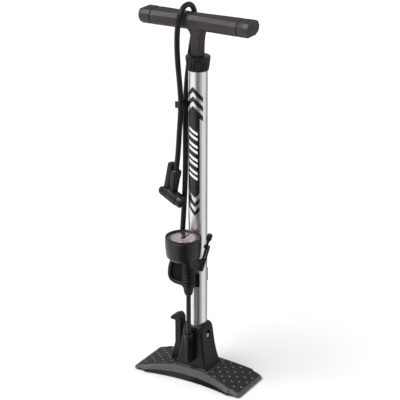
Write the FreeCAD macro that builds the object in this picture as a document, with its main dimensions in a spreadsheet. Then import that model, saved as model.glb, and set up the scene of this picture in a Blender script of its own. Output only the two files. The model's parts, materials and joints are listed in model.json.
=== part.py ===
"""Floor bicycle pump with a foot base, aluminium barrel, T handle, gauge and lever chuck.

Millimetres, +Z up. The origin is on the barrel axis at the floor, -Y is the side with the gauge.
"""
import FreeCAD, Part
import math
import os
import re

import Sketcher
from FreeCAD import Placement, Rotation, Vector

# Driving dimensions, in millimetres and degrees. Heights ending in _z are above the floor.
SIZES = {
    # Foot base
    "base_half_length": 106.5, "base_tab_start": 86, "base_tab_step": 3,
    "base_centre_depth": 37, "base_end_depth": 47, "base_corner": 7,
    "base_top_centre_z": 25, "base_top_end_z": 6, "base_under_centre_z": 14, "base_under_end_z": 2,
    "skirt_inset": 3, "skirt_wall": 2.5, "skirt_bottom_z": 0.6,
    "sole_half_length": 84, "sole_bottom_z": 3, "sole_top_z": 5.5, "sole_inset": 6,
    "foot_radius": 7, "foot_x": 74, "foot_y": 30,
    "tread_start": 36, "tread_inset": 7, "tread_thickness": 1, "tread_end": 103,
    "tread_notch_gap": 0.7,
    "base_screw_x": 24, "base_screw_y": 17, "base_screw_radius": 2.5, "base_screw_head_radius": 4.5,
    "base_screw_head_height": 2, "base_screw_length": 14,
    # Barrel socket (tower)
    "tower_foot_x": 32, "tower_foot_y": 25, "tower_foot_z": 25,
    "tower_low_x": 26, "tower_low_y": 22.5, "tower_low_z": 45,
    "tower_waist_x": 21.5, "tower_waist_y": 20.5, "tower_waist_z": 74,
    "tower_collar_half": 20.4, "tower_collar_z": 99, "tower_rim_half": 18.8, "tower_top_z": 105,
    "tower_edge": 5,
    "valve_chamber_radius": 9, "valve_chamber_z": 34, "channel_radius": 2, "channel_z": 46,
    "boss_radius": 7.5, "boss_bottom_z": 41, "boss_top_z": 91,
    "socket_screw_z": 80, "socket_screw_radius": 4.2,
    # Hook beside the socket
    "hook_half_width": 9, "hook_outer_x": 41.2, "hook_inner_x": 29.8, "hook_top_z": 110,
    "hook_foot_x": 50, "hook_foot_z": 21.4, "hook_shoulder_z": 56, "hook_tip_x": 51, "hook_beak": 12,
    # Barrel and its foot plug
    "barrel_radius": 16, "barrel_bore": 14.6, "barrel_bottom_z": 54, "barrel_top_z": 570,
    "plug_top_z": 62, "plug_hole": 3, "plug_seal_radius": 1.3,
    # Check valve
    "poppet_radius": 5.5, "cage_top_z": 42, "spring_wire": 0.6, "spring_radius": 3.6,
    # Barrel cap
    "cap_bottom_z": 554, "cap_top_z": 578, "cap_bottom_radius": 18.2, "cap_top_radius": 20.5,
    "bush_radius": 8, "bush_bottom_z": 562, "running_gap": 0.06,
    # Rod and piston
    "rod_radius": 5, "rod_bottom_z": 68, "rod_top_z": 632,
    "piston_bottom_z": 72, "piston_top_z": 90, "piston_radius": 14.2,
    "piston_seal_z": 81, "piston_seal_radius": 1.5, "piston_nut_flat": 6.5, "bump_stop_radius": 8.5,
    # Handle
    "stem_bottom_z": 578.6, "stem_bottom_half": 9.2, "stem_top_half": 13.6, "bar_bottom_z": 622,
    "bar_top_z": 646.2, "bar_ridge_z": 641, "bar_side_z": 632, "cap_start_x": 80, "bar_half_length": 101.5,
    "bar_top_centre": 9, "bar_top_end": 14, "bar_ridge_centre": 15, "bar_ridge_end": 19.5,
    "bar_low_centre": 9.5, "bar_low_end": 12, "inlay_thickness": 0.8, "handle_pin_z": 600,
    "handle_pin_radius": 1.75, "cap_corner_x": 100,
    # Gauge
    "gauge_offset": 47, "gauge_radius": 30.5, "gauge_wall": 2.8, "gauge_bottom_radius": 22,
    "gauge_taper_radius": 28.4, "gauge_bottom_z": 238, "gauge_taper_z": 244.5, "gauge_shoulder_z": 264,
    "gauge_wall_top_z": 275, "gauge_top_z": 279, "dial_z": 268, "dial_thickness": 0.8,
    "needle_gap": 1, "needle_thickness": 0.6, "needle_length": 20, "needle_tail": 7, "shaft_radius": 1,
    "lens_thickness": 1.6, "lens_dome": 1.5,
    # Gauge bracket and its fittings
    "saddle_height": 46, "room_depth": 80, "pin_room_length": 30, "movement_radius": 14,
    "needle_half": 3, "needle_tail_half": 1.7, "needle_tip_half": 0.35, "stem_corner": 3,
    "clip_web_length": 5, "clip_tab_length": 5, "clip_tab_thickness": 3, "spine_thickness": 2,
    "spine_width": 4, "holder_arm_width": 6, "ear_length": 12.5, "valve_way_radius": 2,
    "poppet_shoulder_radius": 2.6, "poppet_stem_radius": 1.9, "cap_flute_radius": 1.3,
    "socket_screw_bore": 2.2, "adaptor_foot": 4.5, "adaptor_taper_end": 14,
    "wing_root_x": 6, "wing_top_x": 24, "wing_bulge_x": 31, "wing_bulge_z": 212, "wing_lower_x": 27.5,
    "wing_lower_z": 193, "wing_toe_x": 13, "wing_toe_z": 184, "wing_rim": 5, "wing_bend_z": 201,
    "wing_bend_x": 21.5,
    "manifold_offset": 31, "manifold_radius": 9, "manifold_bottom_z": 182,
    "clamp_radius": 19.5, "clamp_bottom_z": 176, "clamp_top_z": 200, "clamp_gap_angle": 110,
    "saddle_half_width": 7, "wing_offset": 36, "wing_rim_thickness": 9, "wing_web_thickness": 3,
    "stem_port_offset": 37, "stem_port_radius": 3.5, "stem_port_bottom_z": 228,
    "bracket_screw_radius": 1.8, "bracket_screw_length": 10, "bracket_screw_low_z": 187,
    "bracket_screw_high_z": 195,
    "outlet_x": 22, "outlet_y": 16, "outlet_radius": 6.4, "outlet_bottom_z": 205, "outlet_top_z": 226,
    "ferrule_radius": 6, "ferrule_top_z": 246,
    # Hoses
    "main_hose_radius": 4.5, "main_hose_start_z": 230, "lower_hose_radius": 4,
    "lower_hose_bottom_z": 74, "lower_hose_top_z": 176, "hose_nut_radius": 8.2, "hose_nut_bottom_z": 163,
    "clip_bottom_z": 489, "clip_top_z": 499.5, "clip_wall": 1.5,
    # Accessory holder and adaptor
    "holder_x": 26, "holder_y": 37, "holder_z": 219.5, "adaptor_lean": 16, "adaptor_turn": 47.5,
    "holder_radius": 5.5, "holder_socket_length": 20, "adaptor_radius": 2.1, "adaptor_length": 66,
    "adaptor_knob_radius": 4.6, "holder_ring_start": 40, "holder_ring_length": 5,
    "holder_arm_height": 20,
    # Lever chuck, along its nose axis from the point where the neck axis crosses it
    "neck_lean": 15, "neck_radius": 7.2, "neck_length": 35, "chuck_head_radius": 10.3,
    "chuck_solid_start": -8, "chuck_front": 14, "chuck_ear_end": -23, "chuck_ear_inner": 4.6,
    "chuck_ear_outer": 9, "pin_offset": -16, "chuck_pin_radius": 1.6, "lever_half_width": 4.3,
    "lever_eye_radius": 6.8, "lever_length": 47, "lever_half_thickness": 4, "lever_offset": 3,
    "cavity_radius": 5.6, "plunger_end": 6, "gland_start": 8, "gland_end": 20,
    "gland_bore": 4.1, "nose_cap_radius": 9.2, "nose_end": 25, "valve_mouth": 4.7,
    "neck_nut_radius": 7.9, "neck_nut_length": 10,
}

# Main hose centreline, control points from the outlet ferrule over the handle to the chuck.
MAIN_HOSE_ROUTE = [
    (-22, -16, 230), (-22.3, -14.5, 262), (-22.9, -6.5, 318), (-22.4, -2.8, 378), (-22.6, -2.3, 438),
    (-22.9, -1.5, 494), (-23.4, 4, 534), (-24, 14.5, 572), (-22, 23, 610), (-20.5, 26, 641),
    (-20, 12, 659), (-20, -12, 659), (-20.5, -26, 641), (-24.5, -25, 610), (-26, -21, 572),
    (-24.5, -16.5, 530), (-23, -14.6, 494), (-27, -15.5, 440), (-31.2, -11.8, 407),
]

CHUCK_ORIGIN = Vector(-39, -19, 335)
NOSE_AXIS = Vector(0.918, -0.134, -0.368)
NECK_HINT = Vector(0.128, 0.120, 0.979)

doc = FreeCAD.newDocument("FloorPump")
sheet = doc.addObject("Spreadsheet::Sheet", "Sizes")
nodes = []


def fill_sheet():
    """One row per driving dimension: its name, and the number under its alias."""
    for row, (alias, number) in enumerate(SIZES.items(), start=1):
        sheet.set(f"A{row}", alias)
        sheet.set(f"B{row}", str(number))
        sheet.setAlias(f"B{row}", alias)
    doc.recompute()


def bind(text):
    """Point every alias in a size expression at the sheet."""
    return re.sub(r"[a-z][a-z_]+", lambda word: "Sizes." + word.group(), text)


def size(text):
    """Value of a size expression."""
    return float(sheet.evalExpression(bind(text)))


# ---------------------------------------------------------------- sketches and features


def sketch_on(body, role, offset=None):
    """Empty sketch on one of the body's origin planes, moved along its normal if wanted."""
    plane = next(item for item in body.Origin.OriginFeatures if item.Role == role)
    sketch = body.newObject("Sketcher::SketchObject", body.Label + "_sketch")
    sketch.AttachmentSupport = (plane, [""])
    sketch.MapMode = "FlatFace"
    if offset:
        sketch.setExpression("AttachmentOffset.Base.z", bind(offset))
    return sketch


def bind_point(sketch, geometry, vertex, place):
    """Hold one sketch point at a pair of size expressions."""
    kinds = (("DistanceX", -2), ("DistanceY", -1))
    for (kind, axis), text in zip(kinds, place):
        if abs(size(text)) < 1e-9:
            sketch.addConstraint(Sketcher.Constraint("PointOnObject", geometry, vertex, axis))
            continue
        index = sketch.addConstraint(Sketcher.Constraint(kind, -1, 1, geometry, vertex, size(text)))
        sketch.setExpression(f"Constraints[{index}]", bind(text))


def outline(sketch, corners, bulges=None):
    """Closed loop through corners; bulges gives, by edge number, a point that an arc passes."""
    bulges = bulges or {}
    places = [Vector(size(x), size(y), 0) for x, y in corners]
    ends = []
    for number, start in enumerate(places):
        finish = places[(number + 1) % len(places)]
        if number in bulges:
            middle = Vector(size(bulges[number][0]), size(bulges[number][1]), 0)
            edge = sketch.addGeometry(Part.Arc(start, middle, finish))
            mark = sketch.addGeometry(Part.Point(middle), True)
            bind_point(sketch, mark, 1, bulges[number])
            sketch.addConstraint(Sketcher.Constraint("PointOnObject", mark, 1, edge))
        else:
            edge = sketch.addGeometry(Part.LineSegment(start, finish))
        starts_here = (sketch.getPoint(edge, 1) - start).Length < 1e-6
        ends.append((edge, 1, 2) if starts_here else (edge, 2, 1))
    for number, (edge, first, last) in enumerate(ends):
        following, its_first, _ = ends[(number + 1) % len(ends)]
        sketch.addConstraint(Sketcher.Constraint("Coincident", edge, last, following, its_first))
        bind_point(sketch, edge, first, corners[number])


def circle(sketch, radius, place=("0", "0")):
    """Circle with its radius and centre held by size expressions."""
    centre = Vector(size(place[0]), size(place[1]), 0)
    edge = sketch.addGeometry(Part.Circle(centre, Vector(0, 0, 1), size(radius)))
    index = sketch.addConstraint(Sketcher.Constraint("Radius", edge, size(radius)))
    sketch.setExpression(f"Constraints[{index}]", bind(radius))
    bind_point(sketch, edge, 3, place)


def new_body(label, x="0", y="0", z="0"):
    """Body that will be one node, moved to a place given by size expressions."""
    body = doc.addObject("PartDesign::Body", label)
    body.Label = label
    for axis, text in zip("xyz", (x, y, z)):
        body.setExpression(f"Placement.Base.{axis}", bind(text))
    return body


def keep(item, label):
    """Make an object a node of the pump."""
    item.Label = label
    nodes.append(item)
    return item


def revolve(body, corners, angle=360, bulges=None):
    """Turn a (radius, height) profile about the body's Z axis."""
    sketch = sketch_on(body, "XZ_Plane")
    outline(sketch, corners, bulges)
    feature = body.newObject("PartDesign::Revolution", body.Label + "_turned")
    feature.Profile = sketch
    feature.ReferenceAxis = (sketch, ["V_Axis"])
    feature.Angle = angle
    sketch.Visibility = False
    return feature


def turned(label, corners, x="0", y="0", bulges=None):
    """Node that is one turned piece standing at x, y."""
    body = new_body(label, x, y)
    revolve(body, corners, bulges=bulges)
    return keep(body, label)


def pad(body, sketch, length, symmetric=False, reverse=False):
    """Extrude a sketch into the body."""
    feature = body.newObject("PartDesign::Pad", body.Label + "_pad")
    feature.Profile = sketch
    feature.SideType = "Symmetric" if symmetric else "One side"
    feature.Reversed = reverse
    feature.setExpression("Length", bind(length))
    return feature


def pocket(body, sketch, length=None, symmetric=False, reverse=False):
    """Cut a sketch out of the body, right through when no length is given."""
    doc.recompute()
    before = body.Shape.Volume
    feature = body.newObject("PartDesign::Pocket", body.Label + "_pocket")
    feature.Profile = sketch
    feature.SideType = "Symmetric" if symmetric else "One side"
    feature.Reversed = reverse
    if length:
        feature.setExpression("Length", bind(length))
    else:
        feature.Type = "ThroughAll"
    doc.recompute()
    if body.Shape.Volume > before - 0.01:
        raise RuntimeError(f"{body.Label}: a pocket removes nothing")
    return feature


def loft(body, sketches):
    """Straight-sided loft through sketches with the same number of corners."""
    feature = body.newObject("PartDesign::AdditiveLoft", body.Label + "_loft")
    feature.Profile = sketches[0]
    feature.Sections = [(sketch, [""]) for sketch in sketches[1:]]
    feature.Ruled = True
    return feature


def cylinder(name, radius, length, placement=None):
    """Part cylinder along its own Z axis."""
    item = doc.addObject("Part::Cylinder", name)
    item.setExpression("Radius", bind(radius))
    item.setExpression("Height", bind(length))
    item.Placement = placement or Placement()
    return item


def block(name, lengths, placement):
    """Part box of three size expressions, centred on its X and Y."""
    item = doc.addObject("Part::Box", name)
    for side, text in zip(("Length", "Width", "Height"), lengths):
        item.setExpression(side, bind(text))
    shift = Vector(-size(lengths[0]) / 2, -size(lengths[1]) / 2, 0)
    item.Placement = placement.multiply(Placement(shift, Rotation()))
    return item


def fuse(name, items):
    """Join Part objects into one solid."""
    item = doc.addObject("Part::MultiFuse", name)
    item.Shapes = items
    item.Refine = True
    return item


def cut(name, base, tool):
    """Take one Part object away from another."""
    item = doc.addObject("Part::Cut", name)
    item.Base = base
    item.Tool = tool
    return item


def at(x, y, z, rotation=None):
    """Placement from three size expressions."""
    return Placement(Vector(size(x), size(y), size(z)), rotation or Rotation())


def mirrored_corners(half):
    """Corners of an outline that is the same on both sides of the Y axis."""
    return half + [("-(" + x + ")", y) for x, y in reversed(half)]


# ---------------------------------------------------------------- foot base


def base_plan(inset, half_length, with_tabs):
    """Plan corners and waisted long edges of the base, drawn in by inset."""
    depth = f"(base_end_depth - {inset})"
    waist = f"base_centre_depth - {inset}"
    tab = f"(base_end_depth - base_tab_step - {inset})"
    end = f"({half_length} - {inset})"
    if not with_tabs:
        corners = [(f"-{end}", f"-{depth}"), (end, f"-{depth}"), (end, depth), (f"-{end}", depth)]
        return corners, {0: ("0", f"-({waist})"), 2: ("0", waist)}
    quarter = [("base_tab_start", f"-{depth}"), ("base_tab_start + 1", f"-{tab}"),
               (f"{end} - base_corner", f"-{tab} + 2"), (end, f"-{tab} + 2 + base_corner")]
    right = quarter + [(x, "-(" + y + ")") for x, y in reversed(quarter)]
    corners = mirrored_corners(right)
    long_edges = {len(right) - 1: ("0", waist), len(corners) - 1: ("0", f"-({waist})")}
    return corners, long_edges


def arched_slab(body, top, under):
    """Slab across the base; top and under each give an arc's centre and end heights.

    A single height makes that side flat.
    """
    sketch = sketch_on(body, "XZ_Plane")
    reach = "base_half_length"
    corners = [(f"-{reach}", under[-1]), (reach, under[-1]), (reach, top[-1]), (f"-{reach}", top[-1])]
    arcs = {2: ("0", top[0])}
    if len(under) == 2:
        arcs[0] = ("0", under[0])
    outline(sketch, corners, arcs)
    pad(body, sketch, "base_end_depth * 2.4", symmetric=True)


def trim_to_plan(body, corners, bulges):
    """Remove what lies outside a plan outline."""
    sketch = sketch_on(body, "XY_Plane", "0 - 20")
    far = "base_half_length * 1.5"
    square = [(f"-{far}", f"-{far}"), (far, f"-{far}"), (far, far), (f"-{far}", far)]
    outline(sketch, square)
    outline(sketch, corners, bulges)
    pocket(body, sketch, reverse=True)


def tower_section(body, half_x, half_y, height, chamfer="tower_edge"):
    """Octagonal cross-section of the barrel socket."""
    sketch = sketch_on(body, "XY_Plane", height)
    right = [(f"{half_x} - {chamfer}", f"-{half_y}"), (half_x, f"-{half_y} + {chamfer}"),
             (half_x, f"{half_y} - {chamfer}"), (f"{half_x} - {chamfer}", half_y)]
    outline(sketch, mirrored_corners(right))
    return sketch


def make_base_shell():
    """Arched grey top plate of the foot base, open where the socket stands."""
    body = new_body("base_shell")
    arched_slab(body, ("base_top_centre_z", "base_top_end_z"),
                ("base_under_centre_z", "base_under_end_z"))
    trim_to_plan(body, *base_plan("0", "base_half_length", True))
    opening = tower_section(body, "tower_foot_x", "tower_foot_y", "0 - 20")
    pocket(body, opening, reverse=True)
    keep(body, "base_shell")


def make_base_skirt():
    """Black wall under the shell, from just above the floor to the arch."""
    body = new_body("base_skirt")
    arched_slab(body, ("base_under_centre_z", "base_under_end_z"),
                ("skirt_bottom_z",))
    trim_to_plan(body, *base_plan("skirt_inset", "base_half_length", True))
    inner = sketch_on(body, "XY_Plane", "0 - 20")
    outline(inner, *base_plan("(skirt_inset + skirt_wall)", "base_half_length", True))
    pocket(body, inner, reverse=True)
    keep(body, "base_skirt")


def make_base_sole():
    """Flat plate that carries the socket and closes the base from below."""
    body = new_body("base_sole")
    sketch = sketch_on(body, "XY_Plane", "sole_bottom_z")
    outline(sketch, *base_plan("sole_inset", "(sole_half_length + sole_inset)", False))
    for place in rectangle_corners("base_screw_x", "base_screw_y"):
        circle(sketch, "base_screw_radius", place)
    pad(body, sketch, "sole_top_z - sole_bottom_z")
    keep(body, "base_sole")


def copies_at(name, places, make):
    """Copies of one piece at several places, as one compound node."""
    copies = [make(f"{name}_{number}", x, y) for number, (x, y) in enumerate(places)]
    group = doc.addObject("Part::Compound", name)
    group.Links = copies
    keep(group, name)


def rectangle_corners(half_x, half_y):
    """Size expressions of the four corners of a rectangle about the origin."""
    return [(side_x + half_x, side_y + half_y) for side_x in ("", "-") for side_y in ("", "-")]


def make_base_feet():
    """Rubber pads under the sole: one near each corner and one in the middle."""
    copies_at("base_feet", rectangle_corners("foot_x", "foot_y") + [("0", "0")],
              lambda name, x, y: cylinder(name, "foot_radius", "sole_bottom_z", at(x, y, "0")))


def make_base_screws():
    """Four screws that come up through the sole into the socket."""
    def screw(name, x, y):
        shank = cylinder(name + "_shank", "base_screw_radius", "base_screw_length",
                         at(x, y, "sole_bottom_z"))
        head = cylinder(name + "_head", "base_screw_head_radius", "base_screw_head_height",
                        at(x, y, "sole_bottom_z - base_screw_head_height"))
        return fuse(name, [shank, head])
    copies_at("base_screws", rectangle_corners("base_screw_x", "base_screw_y"), screw)


def make_tread(label, sign):
    """Rubber tread sheet on one half of the base, following the arch."""
    body = new_body(label)
    arched_slab(body, ("base_top_centre_z + tread_thickness", "base_top_end_z + tread_thickness"),
                ("base_top_centre_z", "base_top_end_z"))
    near, far = f"{sign}(tread_start)", f"{sign}(tread_end)"
    depth_near, depth_far = "base_centre_depth - tread_inset", "base_end_depth - tread_inset"
    corners = [(near, f"-({depth_near})"), (far, f"-({depth_far} - 1)"),
               (far, f"{depth_far} - 1"), (near, depth_near)]
    middle = f"{sign}(tread_start + tread_end) / 2"
    bulge = "base_centre_depth - tread_inset + 2.9"
    trim_to_plan(body, corners, {0: (middle, f"-({bulge})"), 2: (middle, bulge)})
    notch = sketch_on(body, "XY_Plane")
    notch_half = "hook_half_width + tread_notch_gap"
    notch_end = "-hook_foot_x - tread_notch_gap"
    outline(notch, [(notch_end, f"-({notch_half})"), ("-tread_start + 3", f"-({notch_half})"),
                    ("-tread_start + 3", notch_half), (notch_end, notch_half)])
    if sign == "-":
        pocket(body, notch, "base_top_centre_z + 5", reverse=True)
    keep(body, label)


# ---------------------------------------------------------------- barrel socket


def make_tower():
    """Socket that holds the barrel, with the valve chamber and the lower hose boss."""
    body = new_body("tower")
    sections = [("tower_foot_x", "tower_foot_y", "sole_top_z"),
                ("tower_foot_x", "tower_foot_y", "tower_foot_z"),
                ("tower_low_x", "tower_low_y", "tower_low_z"),
                ("tower_waist_x", "tower_waist_y", "tower_waist_z"),
                ("tower_collar_half", "tower_collar_half", "tower_collar_z", "tower_edge + 2"),
                ("tower_rim_half", "tower_rim_half", "tower_top_z", "tower_edge + 4")]
    loft(body, [tower_section(body, *section) for section in sections])
    boss = sketch_on(body, "XY_Plane", "boss_bottom_z")
    circle(boss, "boss_radius", ("0", "-manifold_offset"))
    pad(body, boss, "boss_top_z - boss_bottom_z")
    web = sketch_on(body, "XY_Plane", "boss_bottom_z")
    outline(web, [("-boss_radius + 2", "-manifold_offset"), ("boss_radius - 2", "-manifold_offset"),
                  ("boss_radius - 2", "-barrel_radius - 1"), ("-boss_radius + 2", "-barrel_radius - 1")])
    pad(body, web, "boss_top_z - 4 - boss_bottom_z")
    hose_hole = sketch_on(body, "XY_Plane", "lower_hose_bottom_z")
    circle(hose_hole, "lower_hose_radius", ("0", "-manifold_offset"))
    pocket(body, hose_hole, reverse=True)
    drop = sketch_on(body, "XY_Plane", "channel_z - channel_radius")
    circle(drop, "channel_radius", ("0", "-manifold_offset"))
    pocket(body, drop, reverse=True)
    seat = sketch_on(body, "XY_Plane", "barrel_bottom_z")
    circle(seat, "barrel_radius")
    pocket(body, seat, reverse=True)
    chamber = sketch_on(body, "XY_Plane", "valve_chamber_z")
    circle(chamber, "valve_chamber_radius")
    pocket(body, chamber, reverse=True)
    channel = sketch_on(body, "XZ_Plane")
    circle(channel, "channel_radius", ("0", "channel_z"))
    pocket(body, channel, "manifold_offset", reverse=True)
    holes = sketch_on(body, "XY_Plane", "sole_top_z")
    for place in rectangle_corners("base_screw_x", "base_screw_y"):
        circle(holes, "base_screw_radius", place)
    pocket(body, holes, "sole_bottom_z + base_screw_length - sole_top_z", reverse=True)
    recess = sketch_on(body, "YZ_Plane", "barrel_radius")
    circle(recess, "socket_screw_radius + 0.5", ("0", "socket_screw_z"))
    pocket(body, recess, reverse=True)
    keep(body, "tower")


def make_socket_screw():
    """Clamp screw in the recess on the right face of the socket."""
    body = new_body("socket_screw", z="socket_screw_z")
    body.Placement.Rotation = Rotation(Vector(0, 1, 0), 90)
    start = "barrel_radius + 0.3"
    revolve(body, [("0", start), ("socket_screw_bore", start),
                   ("socket_screw_bore", f"{start} + 1"),
                   ("socket_screw_radius", f"{start} + 1"), ("socket_screw_radius", f"{start} + 3.6"),
                   ("socket_screw_radius - 1", f"{start} + 4.4"), ("0", f"{start} + 4.4")])
    keep(body, "socket_screw")


def make_chuck_hook():
    """Post with an outward beak and a sloping foot on the left of the socket, which parks the chuck."""
    body = new_body("chuck_hook")
    sketch = sketch_on(body, "XZ_Plane")
    socket_side = "-tower_foot_x - 0.4"
    beak_z = "hook_top_z - hook_beak"
    corners = [("-hook_foot_x", "hook_foot_z"), (socket_side, "hook_foot_z + 2.4"),
               ("-tower_foot_x - 0.3", "tower_foot_z + 2"), ("-tower_low_x - 1.6", "tower_low_z - 1"),
               ("-hook_inner_x", "hook_shoulder_z + 2"), ("-hook_inner_x", "hook_top_z - 11"),
               ("-hook_inner_x - 8", "hook_top_z"), ("-hook_outer_x - 1.5", "hook_top_z - 2.5"),
               ("-hook_tip_x", f"{beak_z} + 2"), ("-hook_tip_x + 2", beak_z),
               ("-hook_outer_x", beak_z), ("-hook_outer_x", "hook_shoulder_z")]
    outline(sketch, corners, {5: ("-hook_inner_x - 1.9", "hook_top_z - 4.2"),
                              7: ("-hook_tip_x + 2.5", "hook_top_z - 5.5")})
    pad(body, sketch, "hook_half_width * 2", symmetric=True)
    keep(body, "chuck_hook")


# ---------------------------------------------------------------- barrel, valve and cap


def ring(label, inner, outer, bottom, top, x="0", y="0"):
    """Node that is a plain ring or sleeve."""
    return turned(label, [(inner, bottom), (outer, bottom), (outer, top), (inner, top)], x, y)


def rubber_ring(label, centre_radius, wire, height):
    """O-ring lying flat about the barrel axis."""
    item = doc.addObject("Part::Torus", label)
    item.setExpression("Radius1", bind(centre_radius))
    item.setExpression("Radius2", bind(wire))
    item.Placement = at("0", "0", height)
    return keep(item, label)


def make_barrel():
    """Aluminium tube, its foot plug and the plug's seal."""
    ring("barrel_tube", "barrel_bore", "barrel_radius", "barrel_bottom_z", "barrel_top_z")
    groove = "barrel_bore - plug_seal_radius * 2"
    turned("barrel_foot_plug", [
        ("plug_hole", "barrel_bottom_z"), ("barrel_bore", "barrel_bottom_z"),
        ("barrel_bore", "barrel_bottom_z + 2"), (groove, "barrel_bottom_z + 2"),
        (groove, "plug_top_z - 2"), ("barrel_bore", "plug_top_z - 2"),
        ("barrel_bore", "plug_top_z"), ("plug_hole", "plug_top_z")])
    rubber_ring("plug_seal", "barrel_bore - plug_seal_radius - 0.02", "plug_seal_radius - 0.02",
                "(barrel_bottom_z + plug_top_z) / 2")


def make_valve_spring():
    """Compression spring between the cage and the poppet."""
    low = size("cage_top_z + spring_wire")
    high = size("barrel_bottom_z - 4.1 - spring_wire")
    helix = Part.makeHelix((high - low) / 3.5, high - low, size("spring_radius"))
    helix.translate(Vector(0, 0, low))
    start = Vector(size("spring_radius"), 0, low)
    wire = Part.Wire(Part.Circle(start, Vector(0, 1, 0), size("spring_wire")).toShape())
    item = doc.addObject("Part::Feature", "valve_spring")
    item.Shape = Part.Wire(helix).makePipeShell([wire], True, True)
    keep(item, "valve_spring")


def make_check_valve():
    """Spring-loaded poppet that closes the foot plug from below, and the cage under it."""
    turned("valve_cage", [
        ("valve_way_radius", "valve_chamber_z"), ("valve_chamber_radius", "valve_chamber_z"),
        ("valve_chamber_radius", "cage_top_z"), ("valve_way_radius", "cage_top_z")])
    face = "barrel_bottom_z - 0.1"
    turned("valve_poppet", [
        ("0", face), ("poppet_radius", face), ("poppet_radius", f"{face} - 2"),
        ("poppet_shoulder_radius", f"{face} - 4"), ("poppet_stem_radius", f"{face} - 4"),
        ("poppet_stem_radius", "valve_chamber_z + 4"),
        ("0", "valve_chamber_z + 4")])
    make_valve_spring()


def make_barrel_cap():
    """Fluted cap screwed over the top of the barrel."""
    body = new_body("barrel_cap")
    revolve(body, [
        ("barrel_radius", "cap_bottom_z"), ("cap_bottom_radius - 1", "cap_bottom_z"),
        ("cap_bottom_radius", "cap_bottom_z + 1.5"), ("cap_top_radius", "cap_top_z - 5"),
        ("cap_top_radius", "cap_top_z - 1"), ("cap_top_radius - 1", "cap_top_z"),
        ("bush_radius", "cap_top_z"), ("bush_radius", "barrel_top_z"),
        ("barrel_radius", "barrel_top_z")])
    flute = sketch_on(body, "XY_Plane", "cap_bottom_z - 1")
    circle(flute, "cap_flute_radius", ("cap_top_radius + 0.5", "0"))
    notch = pocket(body, flute, "cap_top_z - 4 - cap_bottom_z", reverse=True)
    pattern = body.newObject("PartDesign::PolarPattern", "cap_flutes")
    pattern.Originals = [notch]
    pattern.Axis = (flute, ["N_Axis"])
    pattern.Angle = 360
    pattern.Occurrences = 24
    body.Tip = pattern
    keep(body, "barrel_cap")


def make_rod_guide():
    """Guide bush in the cap and the wiper ring inside its mouth."""
    gap_bore = "rod_radius + running_gap"
    ring("rod_guide_bush", gap_bore, "bush_radius", "bush_bottom_z", "cap_top_z - 3")
    ring("rod_wiper", gap_bore, "bush_radius", "cap_top_z - 3", "cap_top_z")


# ---------------------------------------------------------------- rod, piston and handle


def make_piston():
    """Rod, piston, its seal, the nut under it and the rubber stop above it."""
    rod = new_body("piston_rod")
    revolve(rod, [("0", "rod_bottom_z"), ("rod_radius - 0.5", "rod_bottom_z"),
                  ("rod_radius", "rod_bottom_z + 0.5"), ("rod_radius", "rod_top_z"),
                  ("0", "rod_top_z")])
    cross_hole = sketch_on(rod, "XZ_Plane")
    circle(cross_hole, "handle_pin_radius", ("0", "handle_pin_z"))
    pocket(rod, cross_hole, symmetric=True)
    keep(rod, "piston_rod")
    groove = "piston_radius - piston_seal_radius * 2 + 0.3"
    turned("piston", [
        ("rod_radius", "piston_bottom_z"), ("piston_radius", "piston_bottom_z"),
        ("piston_radius", "piston_seal_z - piston_seal_radius"),
        (groove, "piston_seal_z - piston_seal_radius"),
        (groove, "piston_seal_z + piston_seal_radius"),
        ("piston_radius", "piston_seal_z + piston_seal_radius"),
        ("piston_radius", "piston_top_z"), ("rod_radius", "piston_top_z")])
    rubber_ring("piston_seal", "barrel_bore - 0.05 - (piston_seal_radius - 0.05)",
                "piston_seal_radius - 0.05", "piston_seal_z")
    nut = new_body("piston_nut")
    sketch = sketch_on(nut, "XY_Plane", "rod_bottom_z + 0.6")
    side = f"(piston_nut_flat * {2 / math.sqrt(3):.5f})"
    outline(sketch, [(side, "0"), (f"{side} / 2", "piston_nut_flat"),
                     (f"-{side} / 2", "piston_nut_flat"), (f"-{side}", "0"),
                     (f"-{side} / 2", "-piston_nut_flat"), (f"{side} / 2", "-piston_nut_flat")])
    circle(sketch, "rod_radius")
    pad(nut, sketch, "piston_bottom_z - rod_bottom_z - 0.6")
    keep(nut, "piston_nut")
    ring("bump_stop", "rod_radius", "bump_stop_radius", "piston_top_z", "piston_top_z + 12")


def bar_section(body, x, top, ridge, low, drop="0", reach=None):
    """Shield-shaped cross-section of the handle bar, across the YZ plane at x."""
    sketch = sketch_on(body, "YZ_Plane", x)
    right = [(low, f"bar_bottom_z + {drop}"), (f"({low} + {ridge}) / 2 + 1.5", f"bar_bottom_z + 5"),
             (ridge, "bar_side_z"), (ridge, f"bar_ridge_z - {drop}"), (top, f"bar_top_z - {drop}")]
    outline(sketch, mirrored_corners(right))
    return sketch


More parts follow.
